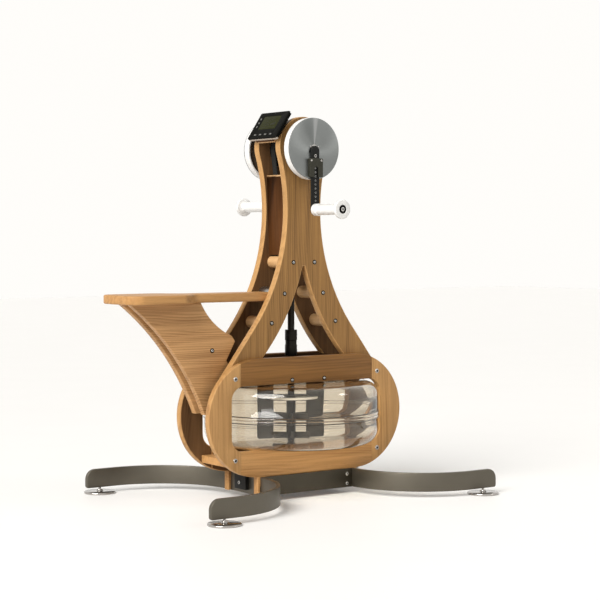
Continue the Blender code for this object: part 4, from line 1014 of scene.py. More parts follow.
@dataclass
class SidePlates:
    """The two upside-down Y plates, with a short flat on their heads under the console."""

    head_radius: float = 0.0865
    head_rise: float = 0.0078
    neck_half_width: float = 0.06
    neck_height: float = 0.84
    leg_width: float = 0.0775
    straight_height: float = 0.5
    foot_height: float = 0.341
    crotch_half_width: float = 0.004
    flat_cut: float = 0.0015
    edge: float = 0.002
    dowel_radius: float = 0.018
    dowel_inset: float = 0.042
    dowel_angle: float = 14.67
    dowel_step: float = 9.1

    def __post_init__(self) -> None:
        """Work out the leg's circle: it stands upright at the neck and touches the head's circle."""
        self.neck_drop = CRANK_HEIGHT + self.head_rise - self.neck_height
        reach = self.neck_half_width**2 + self.neck_drop**2 - self.head_radius**2
        self.leg_radius = reach / (2 * (self.head_radius - self.neck_half_width))
        self.leg_centre = self.neck_half_width + self.leg_radius

    def leg_x(self, height: float, radius: float) -> float:
        """Half width of a leg's curve at a height."""
        return self.leg_centre - sqrt(radius**2 - (self.neck_height - height) ** 2)

    def dowel_place(self, index: int) -> Place:
        """X and Z of a leg's dowel, counted from the top."""
        angle = radians(self.dowel_angle + index * self.dowel_step)
        radius = self.leg_radius + self.dowel_inset
        return self.leg_centre - radius * cos(angle), self.neck_height - radius * sin(angle)

    def leg(self, side: int) -> Array:
        """One leg from the head's tangent point to the crotch."""
        inner = self.leg_radius + self.leg_width
        centre = (self.leg_centre, self.neck_height)
        top = 180 - degrees(atan2(self.neck_drop, self.leg_centre))
        straight = asin((self.neck_height - self.straight_height) / self.leg_radius)
        slant = (self.straight_height - self.foot_height) * tan(straight)
        reach = self.leg_x(self.straight_height, self.leg_radius) + slant
        foot = 180 + degrees(asin((self.neck_height - self.foot_height) / inner))
        apex = 180 + degrees(acos((self.leg_centre - self.crotch_half_width) / inner))
        outer_curve = arc(centre, self.leg_radius, top, 180 + degrees(straight), 44)
        inner_curve = arc(centre, inner, foot, apex, 36)
        return mirrored(chain(outer_curve, (reach, self.foot_height), inner_curve), side)

    def outline(self) -> Array:
        """Head, console flat, legs and crotch as one closed outline."""
        tangent = degrees(atan2(-self.neck_drop, self.leg_centre))
        seat = 180 - CONSOLE_LEAN
        half_chord = degrees(acos(1 - self.flat_cut / self.head_radius))
        centre = (0.0, CRANK_HEIGHT + self.head_rise)
        over = arc(centre, self.head_radius, tangent, seat - half_chord, 44)
        behind = arc(centre, self.head_radius, seat + half_chord, 180 - tangent, 16)
        return chain(over[1:], behind[:-1], self.leg(-1), self.leg(1)[::-1])

    def build(self, shop: Workshop) -> None:
        """Both plates, and the dowels between them."""
        outline = self.outline()
        for seed, (label, side) in enumerate(SIDES.items()):
            parts = [
                (side_board(outline, side, HALF_GAP, PLATE_OUTER, self.edge), PLATE_OAK),
                # The two skins paint shade on the plate's inner and outer faces
                (skin(outline, side * HALF_GAP), PAINTED_SHADE_INNER_OAK),
                (skin(outline, side * PLATE_OUTER), PAINTED_SHADE_FACE_OAK),
            ]
            shop.wooden(f"{label}_side_plate", parts, GrainWay.Z, 1.3 + 2.1 * seed)
        self.build_dowels(shop)

    def build_dowels(self, shop: Workshop) -> None:
        """Three spacers in each leg; the rear middle one is metal."""
        half = HALF_GAP - CLEAR
        for end, way in ENDS.items():
            for index, level in enumerate(("upper", "middle", "lower")):
                x, z = self.dowel_place(index)
                metal = end == "rear" and level == "middle"
                turned = lathe(rod(self.dowel_radius, -half, half), 40, "Y", (way * x, 0.0, z))
                parts = [(turned, STEEL if metal else PALE_OAK_AND_PAINTED_HIGHLIGHT)]
                name = f"{end}_{level}_dowel"
                shop.piece(f"{name}_turned", "frame", parts, (name,), Grain(GrainWay.Y, index + way))


@dataclass
class Ovals:
    """Four boards round the tank's window on each side, with open hairline joints."""

    joint_x: float = 0.236
    edge: float = 0.0014

    def __post_init__(self) -> None:
        """Place the window's corner circles."""
        self.corner_x = OVAL_HALF_STRAIGHT + OVAL_RADIUS - BOARD_WIDTH - WINDOW_CORNER
        self.corner_z = OVAL_RADIUS - BOARD_WIDTH - WINDOW_CORNER

    def joint(self, gap: float) -> Place:
        """The angles at which a joint's edge meets the oval's circle and the window's corner."""
        x = self.joint_x + gap / 2
        turn = acos((x - OVAL_HALF_STRAIGHT) / OVAL_RADIUS)
        return degrees(turn), degrees(acos((x - self.corner_x) / WINDOW_CORNER))

    def rail(self, up: int) -> Array:
        """A top or bottom rail."""
        turn, bend = self.joint(-CLEAR)
        inner = arc((self.corner_x, self.corner_z), WINDOW_CORNER, 90, bend, 4)
        half = chain(inner, arc((OVAL_HALF_STRAIGHT, 0), OVAL_RADIUS, turn, 90, 14))
        both = chain(half, mirrored(half, -1)[::-1])
        return both * (1, up) + (0, OVAL_HEIGHT)

    def end(self, way: int) -> Array:
        """A D-shaped end board."""
        turn, bend = self.joint(CLEAR)
        outer = arc((OVAL_HALF_STRAIGHT, 0), OVAL_RADIUS, -turn, turn, 56)
        upper = arc((self.corner_x, self.corner_z), WINDOW_CORNER, bend, 0, 12)
        lower = arc((self.corner_x, -self.corner_z), WINDOW_CORNER, 0, -bend, 12)
        return mirrored(chain(outer, upper, lower), way) + (0, OVAL_HEIGHT)

    def build(self, shop: Workshop) -> None:
        """All eight boards."""
        for number, (label, side) in enumerate(SIDES.items()):
            boards = {
                # The top rail's darker oak is painted shade
                f"{label}_top_rail": (self.rail(1), GrainWay.X, PAINTED_SHADE_RAIL_OAK),
                f"{label}_bottom_rail": (self.rail(-1), GrainWay.X, OAK),
                f"{label}_rear_end": (self.end(-1), GrainWay.Z, OAK_EDGE),
                f"{label}_front_end": (self.end(1), GrainWay.Z, OAK_EDGE),
            }
            for index, (name, (outline, way, finish)) in enumerate(boards.items()):
                wood = side_board(outline, side, OVAL_INNER, OVAL_OUTER, self.edge)
                # The inner skin paints the shade between the two sides onto the board's inner face
                parts = [(wood, finish), (skin(outline, side * OVAL_INNER), PAINTED_SHADE_INNER_OAK)]
                shop.wooden(name, parts, way, 3.7 + 1.9 * index + 7.3 * number)


@dataclass
class InnerBoards:
    """The deck over the tank, the shelf under it and the belt cover."""

    plates: SidePlates
    deck_thickness: float = 0.02
    deck_hole: float = 0.0125
    shelf_half: float = 0.271
    edge: float = 0.0012
    cover_top: float = 0.9415
    cover_bottom: float = 0.708
    cover_thickness: float = 0.008
    cover_strip: float = 0.0045
    cover_edge: float = 0.0006
    top_inset: float = 0.012
    bottom_inset: float = 0.0265

    def build(self, shop: Workshop) -> None:
        """Deck, shelf and cover."""
        inner = self.plates.leg_radius + self.plates.leg_width
        half = self.plates.leg_x(DECK_TOP, inner) - CLEAR
        hole = arc((0, 0), self.deck_hole, 0, 350, 35)
        deck_bottom = DECK_TOP - self.deck_thickness
        deck = board(box_outline(half, PLATE_OUTER), deck_bottom, DECK_TOP, self.edge, Lay.LEVEL, (hole,))
        shop.wooden("deck_board", [(deck, DARK_BOARD)], GrainWay.PLANK, 5.0)
        shelf = box_outline(self.shelf_half, PLATE_OUTER)
        wood = board(shelf, SHELF_TOP - SHELF_THICKNESS, SHELF_TOP, self.edge, Lay.LEVEL)
        shop.wooden("tank_shelf", [(wood, OAK)], GrainWay.PLANK, 6.0)
        self.build_cover(shop)

    def build_cover(self, shop: Workshop) -> None:
        """The leaning belt cover: a board darkened with painted shade under a pale strip of painted
        highlight.
        """
        top = self.top_inset - self.plates.leg_x(self.cover_top, self.plates.leg_radius)
        bottom = self.bottom_inset - self.plates.leg_x(self.cover_bottom, self.plates.leg_radius)
        split = self.cover_top - self.cover_strip
        slope = (bottom - top) / (self.cover_top - self.cover_bottom)
        middle = top + slope * self.cover_strip
        parts = []
        for high, low, finish in (
            ((top, self.cover_top), (middle, split), PALE_OAK_AND_PAINTED_HIGHLIGHT),
            ((middle, split), (bottom, self.cover_bottom), PAINTED_SHADE_COVER_WOOD),
        ):
            ends = np.array((high, low))
            outline = chain(ends, ends[::-1] + (self.cover_thickness, 0))
            parts.append((board(outline, CLEAR - HALF_GAP, HALF_GAP - CLEAR, self.cover_edge), finish))
        shop.wooden("belt_cover", parts[::-1], GrainWay.Z, 7.7)


@dataclass
class Seat:
    """The plank with its round tail and cosine taper, and the two panels under it."""

    plates: SidePlates
    thickness: float = 0.025
    reach: float = 0.593
    half_width: float = 0.096
    corner: float = 0.043
    taper_start: float = 0.428
    taper_length: float = 0.08
    plank_edge: float = 0.0045
    nose_gap: float = 0.0005
    panel_inner: float = 0.0133
    panel_edge: float = 0.0018
    panel_back: float = -0.565
    tip: Place = (-0.324, 0.257)
    back_radius: float = 0.734
    tank_gap: float = 0.021
    ledge_x: float = -0.234
    ledge_height: float = 0.378
    nose: tuple[Place, Place] = ((-0.2498, 0.409), (-0.2207, 0.4625))
    scoop_start: float = -0.3353
    scoop_end: Place = (-0.2316, 0.4785)
    scoop_radius: float = 0.2

    def plank(self) -> Array:
        """The plank from above: tail corners, then a half cosine wave from full width to the neck's."""
        nose_half = HALF_GAP - self.nose_gap
        nose_x = -self.plates.dowel_place(1)[0] - self.plates.dowel_radius - CLEAR
        share = np.linspace(0, 1, 25)
        width = nose_half + (self.half_width - nose_half) * (1 + np.cos(pi * share)) / 2
        taper = np.column_stack((self.taper_length * share - self.taper_start, width))
        centre = (self.corner - self.reach, self.half_width - self.corner)
        upper = chain(arc(centre, self.corner, 180, 90, 16), taper, (nose_x, nose_half))
        return chain(upper, (upper * (1, -1))[::-1])

    def panel(self) -> Array:
        """A panel from the side: back curve, tip, tank side, heel, nose and scoop."""
        top = PLANK_BOTTOM - CLEAR
        back = arc_between((self.panel_back, top), self.tip, self.back_radius, 36)
        window_top = OVAL_HEIGHT + OVAL_RADIUS - BOARD_WIDTH
        side = -TANK_RADIUS - self.tank_gap
        inner = chain(
            (side, self.tip[1]), (side, window_top - WINDOW_CORNER), (self.ledge_x, window_top + CLEAR),
            (self.ledge_x, self.ledge_height), *self.nose,
        )
        scoop = arc_between((self.scoop_start, top), self.scoop_end, -self.scoop_radius, 18)[::-1]
        return chain(back, inner, scoop)

    def build(self, shop: Workshop) -> None:
        """Plank and panels."""
        top = PLANK_BOTTOM + self.thickness
        plank = board(self.plank(), PLANK_BOTTOM, top, self.plank_edge, Lay.LEVEL, rounds=5)
        shop.wooden("seat_plank", [(plank, OAK)], GrainWay.PLANK, 2.6)
        for seed, (label, side) in enumerate(SIDES.items()):
            wood = side_board(self.panel(), side, self.panel_inner, PANEL_OUTER, self.panel_edge)
            shop.wooden(f"{label}_seat_panel", [(wood, PANEL_OAK)], GrainWay.X, 8.4 + 3 * seed)
        shop.dress("seat_anchor_rod", STEEL)


@dataclass
class Base:
    """Two bent flat bars, two skids, two side bands and the shelf's bracket."""

    half_width: float = 0.339
    reach: float = 0.502
    corner: float = 0.249
    end_radius: float = 0.028
    heel_radius: float = 0.006
    edge: float = 0.0016
    notch_half: float = 0.01105
    notch_step: float = 1e-5
    bend_gap: float = 0.0005
    skid_y: float = 0.07655
    skid_top: float = 0.0734
    skid_overhang: float = 0.008
    skid_edge: float = 0.0012
    plate_edge: float = 0.0008
    bracket_foot: float = 0.03
    bracket_reach: float = 0.03
    bracket_flange: float = 0.006
    bracket_half: float = 0.0285

    def stations(self) -> tuple[Array, Array, Array, Array]:
        """Half of a bow's centre line from the middle to one end, with the bar's low and high edge on it.

        The bar is notched where the skid laps it. Near the end, d from it, the top falls by
        r - sqrt(r^2 - (r - d)^2), and the heel rises likewise.

        Returns:
            Points, unit normals in the plane, low edges and high edges.
        """
        near, far = self.skid_y - self.notch_half, self.skid_y + self.notch_half
        bend_start = self.half_width - self.corner - self.bend_gap
        straight_y = np.array((0.0, near - self.notch_step, near, far, far + self.notch_step, bend_start))
        straight = np.column_stack((np.full(len(straight_y), BOW_APEX), straight_y))
        centre = (BOW_APEX + self.corner, self.half_width - self.corner)
        bend = arc(centre, self.corner, 180, 90, 36)
        turn = np.linspace(0, pi / 2, 9)
        distance = np.concatenate((self.end_radius * (1 - np.sin(turn)), (0.0,)))
        distance = np.unique(np.round(distance, 6))[::-1]
        arm = np.column_stack((self.reach - distance, np.full(len(distance), self.half_width)))
        line = chain(straight, bend, arm)
        ahead = np.gradient(line, axis=0)
        ahead /= np.linalg.norm(ahead, axis=1, keepdims=True)
        normal = np.column_stack((ahead[:, 1], -ahead[:, 0]))
        high = np.full(len(line), BAR_TOP)
        high[2:4] = BAR_MIDDLE
        high[-len(distance):] -= self.fall(self.end_radius, distance)
        low = np.full(len(line), BAR_CLEARANCE)
        low[-len(distance):] += self.fall(self.heel_radius, distance)
        return line, normal, low, high

    def fall(self, radius: float, distance: Array) -> Array:
        """How far a quarter round of one radius leaves the bar's edge, at distances from the bar's end."""
        rest = np.clip(radius - distance, 0, None)
        return radius - np.sqrt(np.maximum(radius**2 - rest**2, 0))

    def bow(self, way: int) -> Surface:
        """A rounded rectangular section carried along the bent centre line.

        Args:
            way: 1 for the front bow, -1 for the rear one.

        Returns:
            The closed surface.
        """
        line, normal, low, high = self.stations()
        flip = np.array((1.0, -1.0))
        line = chain((line * flip)[::-1], line[1:])
        normal = chain((normal * flip)[::-1], normal[1:])
        low = np.concatenate((low[::-1], low[1:]))
        high = np.concatenate((high[::-1], high[1:]))
        turn = np.linspace(0, pi / 2, 4)
        corner = np.column_stack((np.cos(turn), np.sin(turn))) * self.edge
        half = BAR_THICKNESS / 2 - self.edge
        ring = chain(*(
            corner[::order] * (a, b) + (a * half, -b * self.edge)
            for a, b, order in ((1, 1, 1), (-1, 1, -1), (-1, -1, 1), (1, -1, -1))
        ))
        top = np.arange(len(ring)) < len(ring) // 2
        across = ring[None, :, :1] * normal[:, None, :]
        flat_points = line[:, None, :] + across
        height = np.where(top, high[:, None], low[:, None]) + ring[None, :, 1]
        points = np.concatenate((flat_points, height[..., None]), axis=2).reshape(-1, 3) * (way, 1, 1)
        count = len(ring)
        faces = grid_faces(len(line), count, False)
        walls = len(faces)
        last = (len(line) - 1) * count
        faces += [list(range(count)), list(range(last, last + count))]
        return Surface(points, faces, [False] * walls + [True, True])

    def skid(self) -> Array:
        """A skid from the side, with its two laps."""
        half = BOW_APEX + BAR_THICKNESS / 2 + self.skid_overhang
        lap = BAR_THICKNESS / 2 + CLEAR
        roof = BAR_MIDDLE + CLEAR
        foot = []
        for x in (-BOW_APEX, BOW_APEX):
            foot += [(x - lap, BAR_CLEARANCE), (x - lap, roof), (x + lap, roof), (x + lap, BAR_CLEARANCE)]
        top = [(half, self.skid_top), (-half, self.skid_top)]
        return np.array([(-half, BAR_CLEARANCE), *foot, (half, BAR_CLEARANCE), *top])

    def bracket(self) -> Array:
        """The bracket from the side."""
        near = BOW_APEX + BAR_THICKNESS / 2 + CLEAR
        middle, far = near + BRACKET_THICKNESS, near + self.bracket_reach
        foot, top = self.bracket_foot, SHELF_TOP - SHELF_THICKNESS - CLEAR
        flange = top - self.bracket_flange
        corners = ((near, foot), (middle, foot), (middle, flange), (far, flange), (far, top), (near, top))
        return mirrored(np.array(corners), -1)

    def build(self, shop: Workshop) -> None:
        """Bows, skids, bands and bracket."""
        for end, way in ENDS.items():
            shop.piece(f"{end}_bow_bar", "frame", [(self.bow(way), SATIN_STEEL)], (f"{end}_bow",), sharp=50)
        for seed, (label, side) in enumerate(SIDES.items()):
            wood = side_board(self.skid(), side, OVAL_INNER, OVAL_OUTER, self.skid_edge)
            shop.wooden(f"{label}_skid", [(wood, OAK)], GrainWay.X, 11.0 + seed)
            near = OVAL_OUTER + CLEAR
            half = BOW_APEX - BAR_THICKNESS / 2 - CLEAR
            middle = (BAR_CLEARANCE + self.skid_top) / 2
            outline = box_outline(half, self.skid_top - middle, (0, middle))
            band = side_board(outline, side, near, near + BAND_THICKNESS, self.plate_edge)
            shop.piece(f"{label}_side_band_bar", "frame", [(band, PAINTED_SHADE_BAND_STEEL)], (f"{label}_side_band",))
        plate = board(self.bracket(), -self.bracket_half, self.bracket_half, self.plate_edge)
        shop.piece("shelf_bracket_plate", "frame", [(plate, BLACK_STEEL)], ("shelf_bracket",))


@dataclass
class Feet:
    """Four chrome levelling feet: a thin pad, a domed hub and a threaded stem."""

    radius: float = 0.0465
    thickness: float = 0.0065
    hub_radius: float = 0.009
    hub_height: float = 0.0125
    stem_radius: float = 0.004
    stem_top: float = 0.04
    x: float = 0.4565
    y: float = 0.339
    thread_pitch: float = 0.0015
    thread_depth: float = 0.0004
    sweep_width: float = 0.006
    sweep_rise: float = 0.002
    hub_edge: float = 0.0012
    stem_edge: float = 0.001
    first_thread: float = 0.0008

    def profile(self) -> Array:
        """Pad, hub and stem; the stem's radius swings by the thread's depth once a pitch."""
        edge = self.thickness / 4
        sweep_start = self.hub_radius + self.sweep_width
        reach = np.linspace(sweep_start, self.hub_radius, 6)
        sweep = self.thickness + self.sweep_rise * ((sweep_start - reach) / self.sweep_width) ** 2
        first, last = self.hub_height + self.first_thread, self.stem_top - self.stem_edge
        thread = np.arange(first, last, self.thread_pitch / 2)
        swing = np.where(np.arange(len(thread)) % 2 == 0, 0.0, -self.thread_depth)
        radius, hub, stem = self.radius, self.hub_radius, self.stem_radius
        return chain(
            (0, 0), (radius - edge, 0), (radius, edge), (radius, self.thickness - edge),
            (radius - edge, self.thickness), np.column_stack((reach, sweep)),
            (hub, self.hub_height - self.hub_edge), (hub - self.hub_edge, self.hub_height),
            (stem, self.hub_height), np.column_stack((stem + swing, thread)),
            (stem - self.stem_edge, self.stem_top), (0, self.stem_top),
        )

    def build(self, shop: Workshop) -> None:
        """All four feet."""
        for label, side in SIDES.items():
            for end, way in ENDS.items():
                foot = lathe(self.profile(), 64, "Z", (way * self.x, side * self.y, 0.0))
                name = f"{label}_{end}_foot"
                shop.piece(f"{name}_turned", f"{label}_{end}_leveller", [(foot, CHROME)], (name,), sharp=50)


@dataclass
class Tank:
    """Two clear shells that meet at a seam band, the foot ring, two seam beads and two smoked fins.

    A ring under the roof is given by its outer radius and its lower and upper face.
    """

    lower_corner: float = 0.042
    upper_corner: float = 0.034
    seam_height: float = 0.2412
    seam_half: float = 0.0082
    seam_step: float = 0.0028
    lip_edge: float = 0.0008
    hole: float = 0.0125
    foot_radius: float = 0.058
    foot_wall: float = 0.007
    steps: int = 144
    fin_near: Place = (0.064, 0.056)
    fin_far: float = 0.12
    fin_low: float = 0.17
    fin_corner: float = 0.01
    fin_half: float = 0.002
    fin_edge: float = 0.0006
    ring_inner: float = 0.042
    ring_edge: float = 0.001
    dark_ring: Point = (0.056, 0.2965, 0.3005)
    white_ring: Point = (0.079, 0.285, 0.2925)
    bead: float = 0.0022
    bead_inset: float = 0.0002
    bead_edge: float = 0.0006

    def shell(self, flat: float, corner: float, towards: int, hole: float) -> Array:
        """One shell's wall: flat end, round corner and half the seam band."""
        seam = self.seam_height + towards * CLEAR / 2
        centre = (TANK_RADIUS - corner, flat - towards * corner)
        outside = arc(centre, corner, 90 * towards, 0, 14)
        inside = arc(centre, corner - TANK_WALL, 0, 90 * towards, 14)
        band = seam + towards * self.seam_half
        lip, edge = TANK_RADIUS + self.seam_step, self.lip_edge
        rim = chain(
            (TANK_RADIUS, band + towards * edge), (TANK_RADIUS + edge, band), (lip - edge, band),
            (lip, band - towards * edge), (lip, seam + towards * edge), (lip - edge, seam),
            (TANK_RADIUS - TANK_WALL, seam),
        )
        return chain((hole, flat), outside, rim, inside, (hole, flat - towards * TANK_WALL))

    def build(self, shop: Workshop) -> None:
        """Shells, beads and fins."""
        upper = lathe(self.shell(TANK_TOP, self.upper_corner, 1, self.hole), self.steps)
        shop.piece("tank_upper_shell", "frame", [(upper, CLEAR_TANK)], ("tank_upper",), sharp=50)
        wall = self.shell(TANK_BOTTOM, self.lower_corner, -1, 0.0)
        inner, outer = self.foot_radius - self.foot_wall, self.foot_radius
        foot = SHELF_TOP + CLEAR
        ring = np.array(((inner, TANK_BOTTOM), (inner, foot), (outer, foot), (outer, TANK_BOTTOM)))
        lower = lathe(chain(wall[:1], ring, wall[1:]), self.steps)
        shop.piece("tank_lower_shell", "frame", [(lower, CLEAR_TANK)], ("tank_lower",), sharp=50)
        self.build_beads(shop)
        self.build_fins(shop)

    def build_beads(self, shop: Workshop) -> None:
        """Two thin dark beads in the steps above and below the seam band."""
        inner = TANK_RADIUS + self.bead_inset
        outer = TANK_RADIUS + self.seam_step - 2 * self.bead_inset
        beads = []
        for towards in (-1, 1):
            edge = self.seam_height + towards * (self.seam_half + CLEAR)
            bead = ring_section(inner, outer, edge, edge + towards * self.bead)
            beads.append(lathe(filleted(bead, self.bead_edge), self.steps))
        shop.piece("tank_seam_beads", "frame", [(together(beads), BAFFLE_GREY)])

    def build_fins(self, shop: Workshop) -> None:
        """Two upright fins that hang from the tank's roof and carry a dark ring and a white ring."""
        roof = TANK_TOP - TANK_WALL
        corner, level = self.fin_corner, self.fin_low + self.fin_corner
        fins = []
        for near, way in zip(self.fin_near, ENDS.values()):
            inner = arc((near + corner, level), corner, 180, 270, 6)
            outer = arc((self.fin_far - corner, level), corner, 270, 360, 6)
            outline = chain((near, roof), inner, outer, (self.fin_far, roof))
            fins.append(board(mirrored(outline, way), -self.fin_half, self.fin_half, self.fin_edge))
        dark, white = (
            lathe(filleted(ring_section(self.ring_inner, *ring), self.ring_edge), 96)
            for ring in (self.dark_ring, self.white_ring)
        )
        parts = [(together([*fins, dark]), BAFFLE_GREY), (white, WHITE_PLASTIC)]
        shop.piece("tank_fins", "frame", parts)


@dataclass
class DriveLine:
    """Paddle with its disc, tank bearing and coupling; the CAD shaft, gears and belt stay in view.

    A screw is given by its head's radius and height and its socket's radius.
    """

    coupling_radius: float = 0.018
    coupling_bottom: float = 0.4118
    coupling_length: float = 0.075
    collar: float = 0.03
    collar_slope: float = 0.0015
    waist_depth: float = 0.0012
    screw: Point = (0.0034, 0.001, 0.0018)
    screw_sink: float = 0.0009
    screw_inset: float = 0.015
    screw_turns: Place = (200, 320)
    split: float = 0.4493
    hub_radius: float = 0.0138
    hub_low: float = 0.166
    hub_top: float = 0.2945
    disc_radius: float = 0.04
    disc_thickness: float = 0.004
    blades: int = 3
    blade_reach: float = 0.06
    blade_half: float = 0.002
    blade_low: float = 0.17
    blade_high: float = 0.21
    blade_corner: float = 0.004
    edge: float = 0.0008
    paddle_edge: float = 0.001
    bearing_radius: float = 0.03
    bearing_neck: float = 0.0155
    bearing_flange: float = 0.006
    bearing_height: float = 0.02
    bearing_edge: float = 0.0012

    def paddle(self) -> Parts:
        """Shaft with hub and disc, and full-width blades through it."""
        floor = TANK_BOTTOM + TANK_WALL + CLEAR
        joint = self.split - CLEAR
        disc_top = self.hub_top + self.disc_thickness
        profile = chain(
            (0, floor), (SHAFT_RADIUS, floor), (SHAFT_RADIUS, self.hub_low), (self.hub_radius, self.hub_low),
            (self.hub_radius, self.hub_top), (self.disc_radius, self.hub_top), (self.disc_radius, disc_top),
            (SHAFT_RADIUS, disc_top), (SHAFT_RADIUS, joint), (0, joint),
        )
        middle = (self.blade_low + self.blade_high) / 2
        half_height = (self.blade_high - self.blade_low) / 2
        outline = round_box(self.blade_reach, half_height, self.blade_corner, (0, middle))
        blade = board(outline, -self.blade_half, self.blade_half, self.edge)
        turns = [Matrix.Rotation(i * pi / self.blades, 4, "Z") for i in range(self.blades)]
        blades = together([blade.placed(turn) for turn in turns])
        return [(lathe(filleted(profile, self.paddle_edge), 56), DARK_STEEL), (blades, BAFFLE_GREY)]

    def build(self, shop: Workshop) -> None:
        """Turning and standing pieces of the drive."""
        shop.piece("paddle_wheel", "upright", self.paddle(), ("paddle",))
        self.build_coupling(shop)
        self.build_bearing(shop)
        for node, finish in (
            ("upright_shaft", DARK_STEEL), ("jack_shaft", DARK_STEEL), ("crank_axle", STEEL),
            ("shaft_block", BLACK_STEEL), ("upper_pulley", BLACK_PLASTIC), ("drive_belt", RUBBER),
        ):
            shop.dress(node, finish)

    def build_coupling(self, shop: Workshop) -> None:
        """A waisted tube with two screws in each collar."""
        low, high = self.coupling_bottom, self.coupling_bottom + self.coupling_length
        bore, radius = SHAFT_RADIUS + CLEAR, self.coupling_radius
        waist, shoulder = radius - self.waist_depth, self.collar + self.collar_slope
        tube = chain(
            (bore, low), (radius, low), (radius, low + self.collar), (waist, low + shoulder),
            (waist, high - shoulder), (radius, high - self.collar), (radius, high), (bore, high),
        )
        head = socket_head(*self.screw, radius - self.screw_sink)
        outward = Matrix.Rotation(pi / 2, 4, "Y")
        screws = []
        for height in (low + self.screw_inset, high - self.screw_inset):
            for turn in self.screw_turns:
                seat = Matrix.Translation((0, 0, height)) @ Matrix.Rotation(radians(turn), 4, "Z")
                screws.append(head.placed(seat @ outward))
        parts = [(lathe(filleted(tube, self.edge), 56), DARK_STEEL), (together(screws), BLACK_STEEL)]
        shop.piece("shaft_coupling_turned", "upright", parts, ("shaft_coupling",))

    def build_bearing(self, shop: Workshop) -> None:
        """A flange with a neck on the tank's roof."""
        bore, neck, radius = SHAFT_RADIUS + CLEAR, self.bearing_neck, self.bearing_radius
        seat = TANK_TOP + CLEAR
        flange, top = seat + self.bearing_flange, seat + self.bearing_height
        wide = ((bore, seat), (radius, seat), (radius, flange))
        profile = np.array((*wide, (neck, flange), (neck, top), (bore, top)))
        parts = [(lathe(filleted(profile, self.bearing_edge), 56), BLACK_PLASTIC)]
        shop.piece("tank_bearing_flange", "frame", parts, ("tank_bearing",))


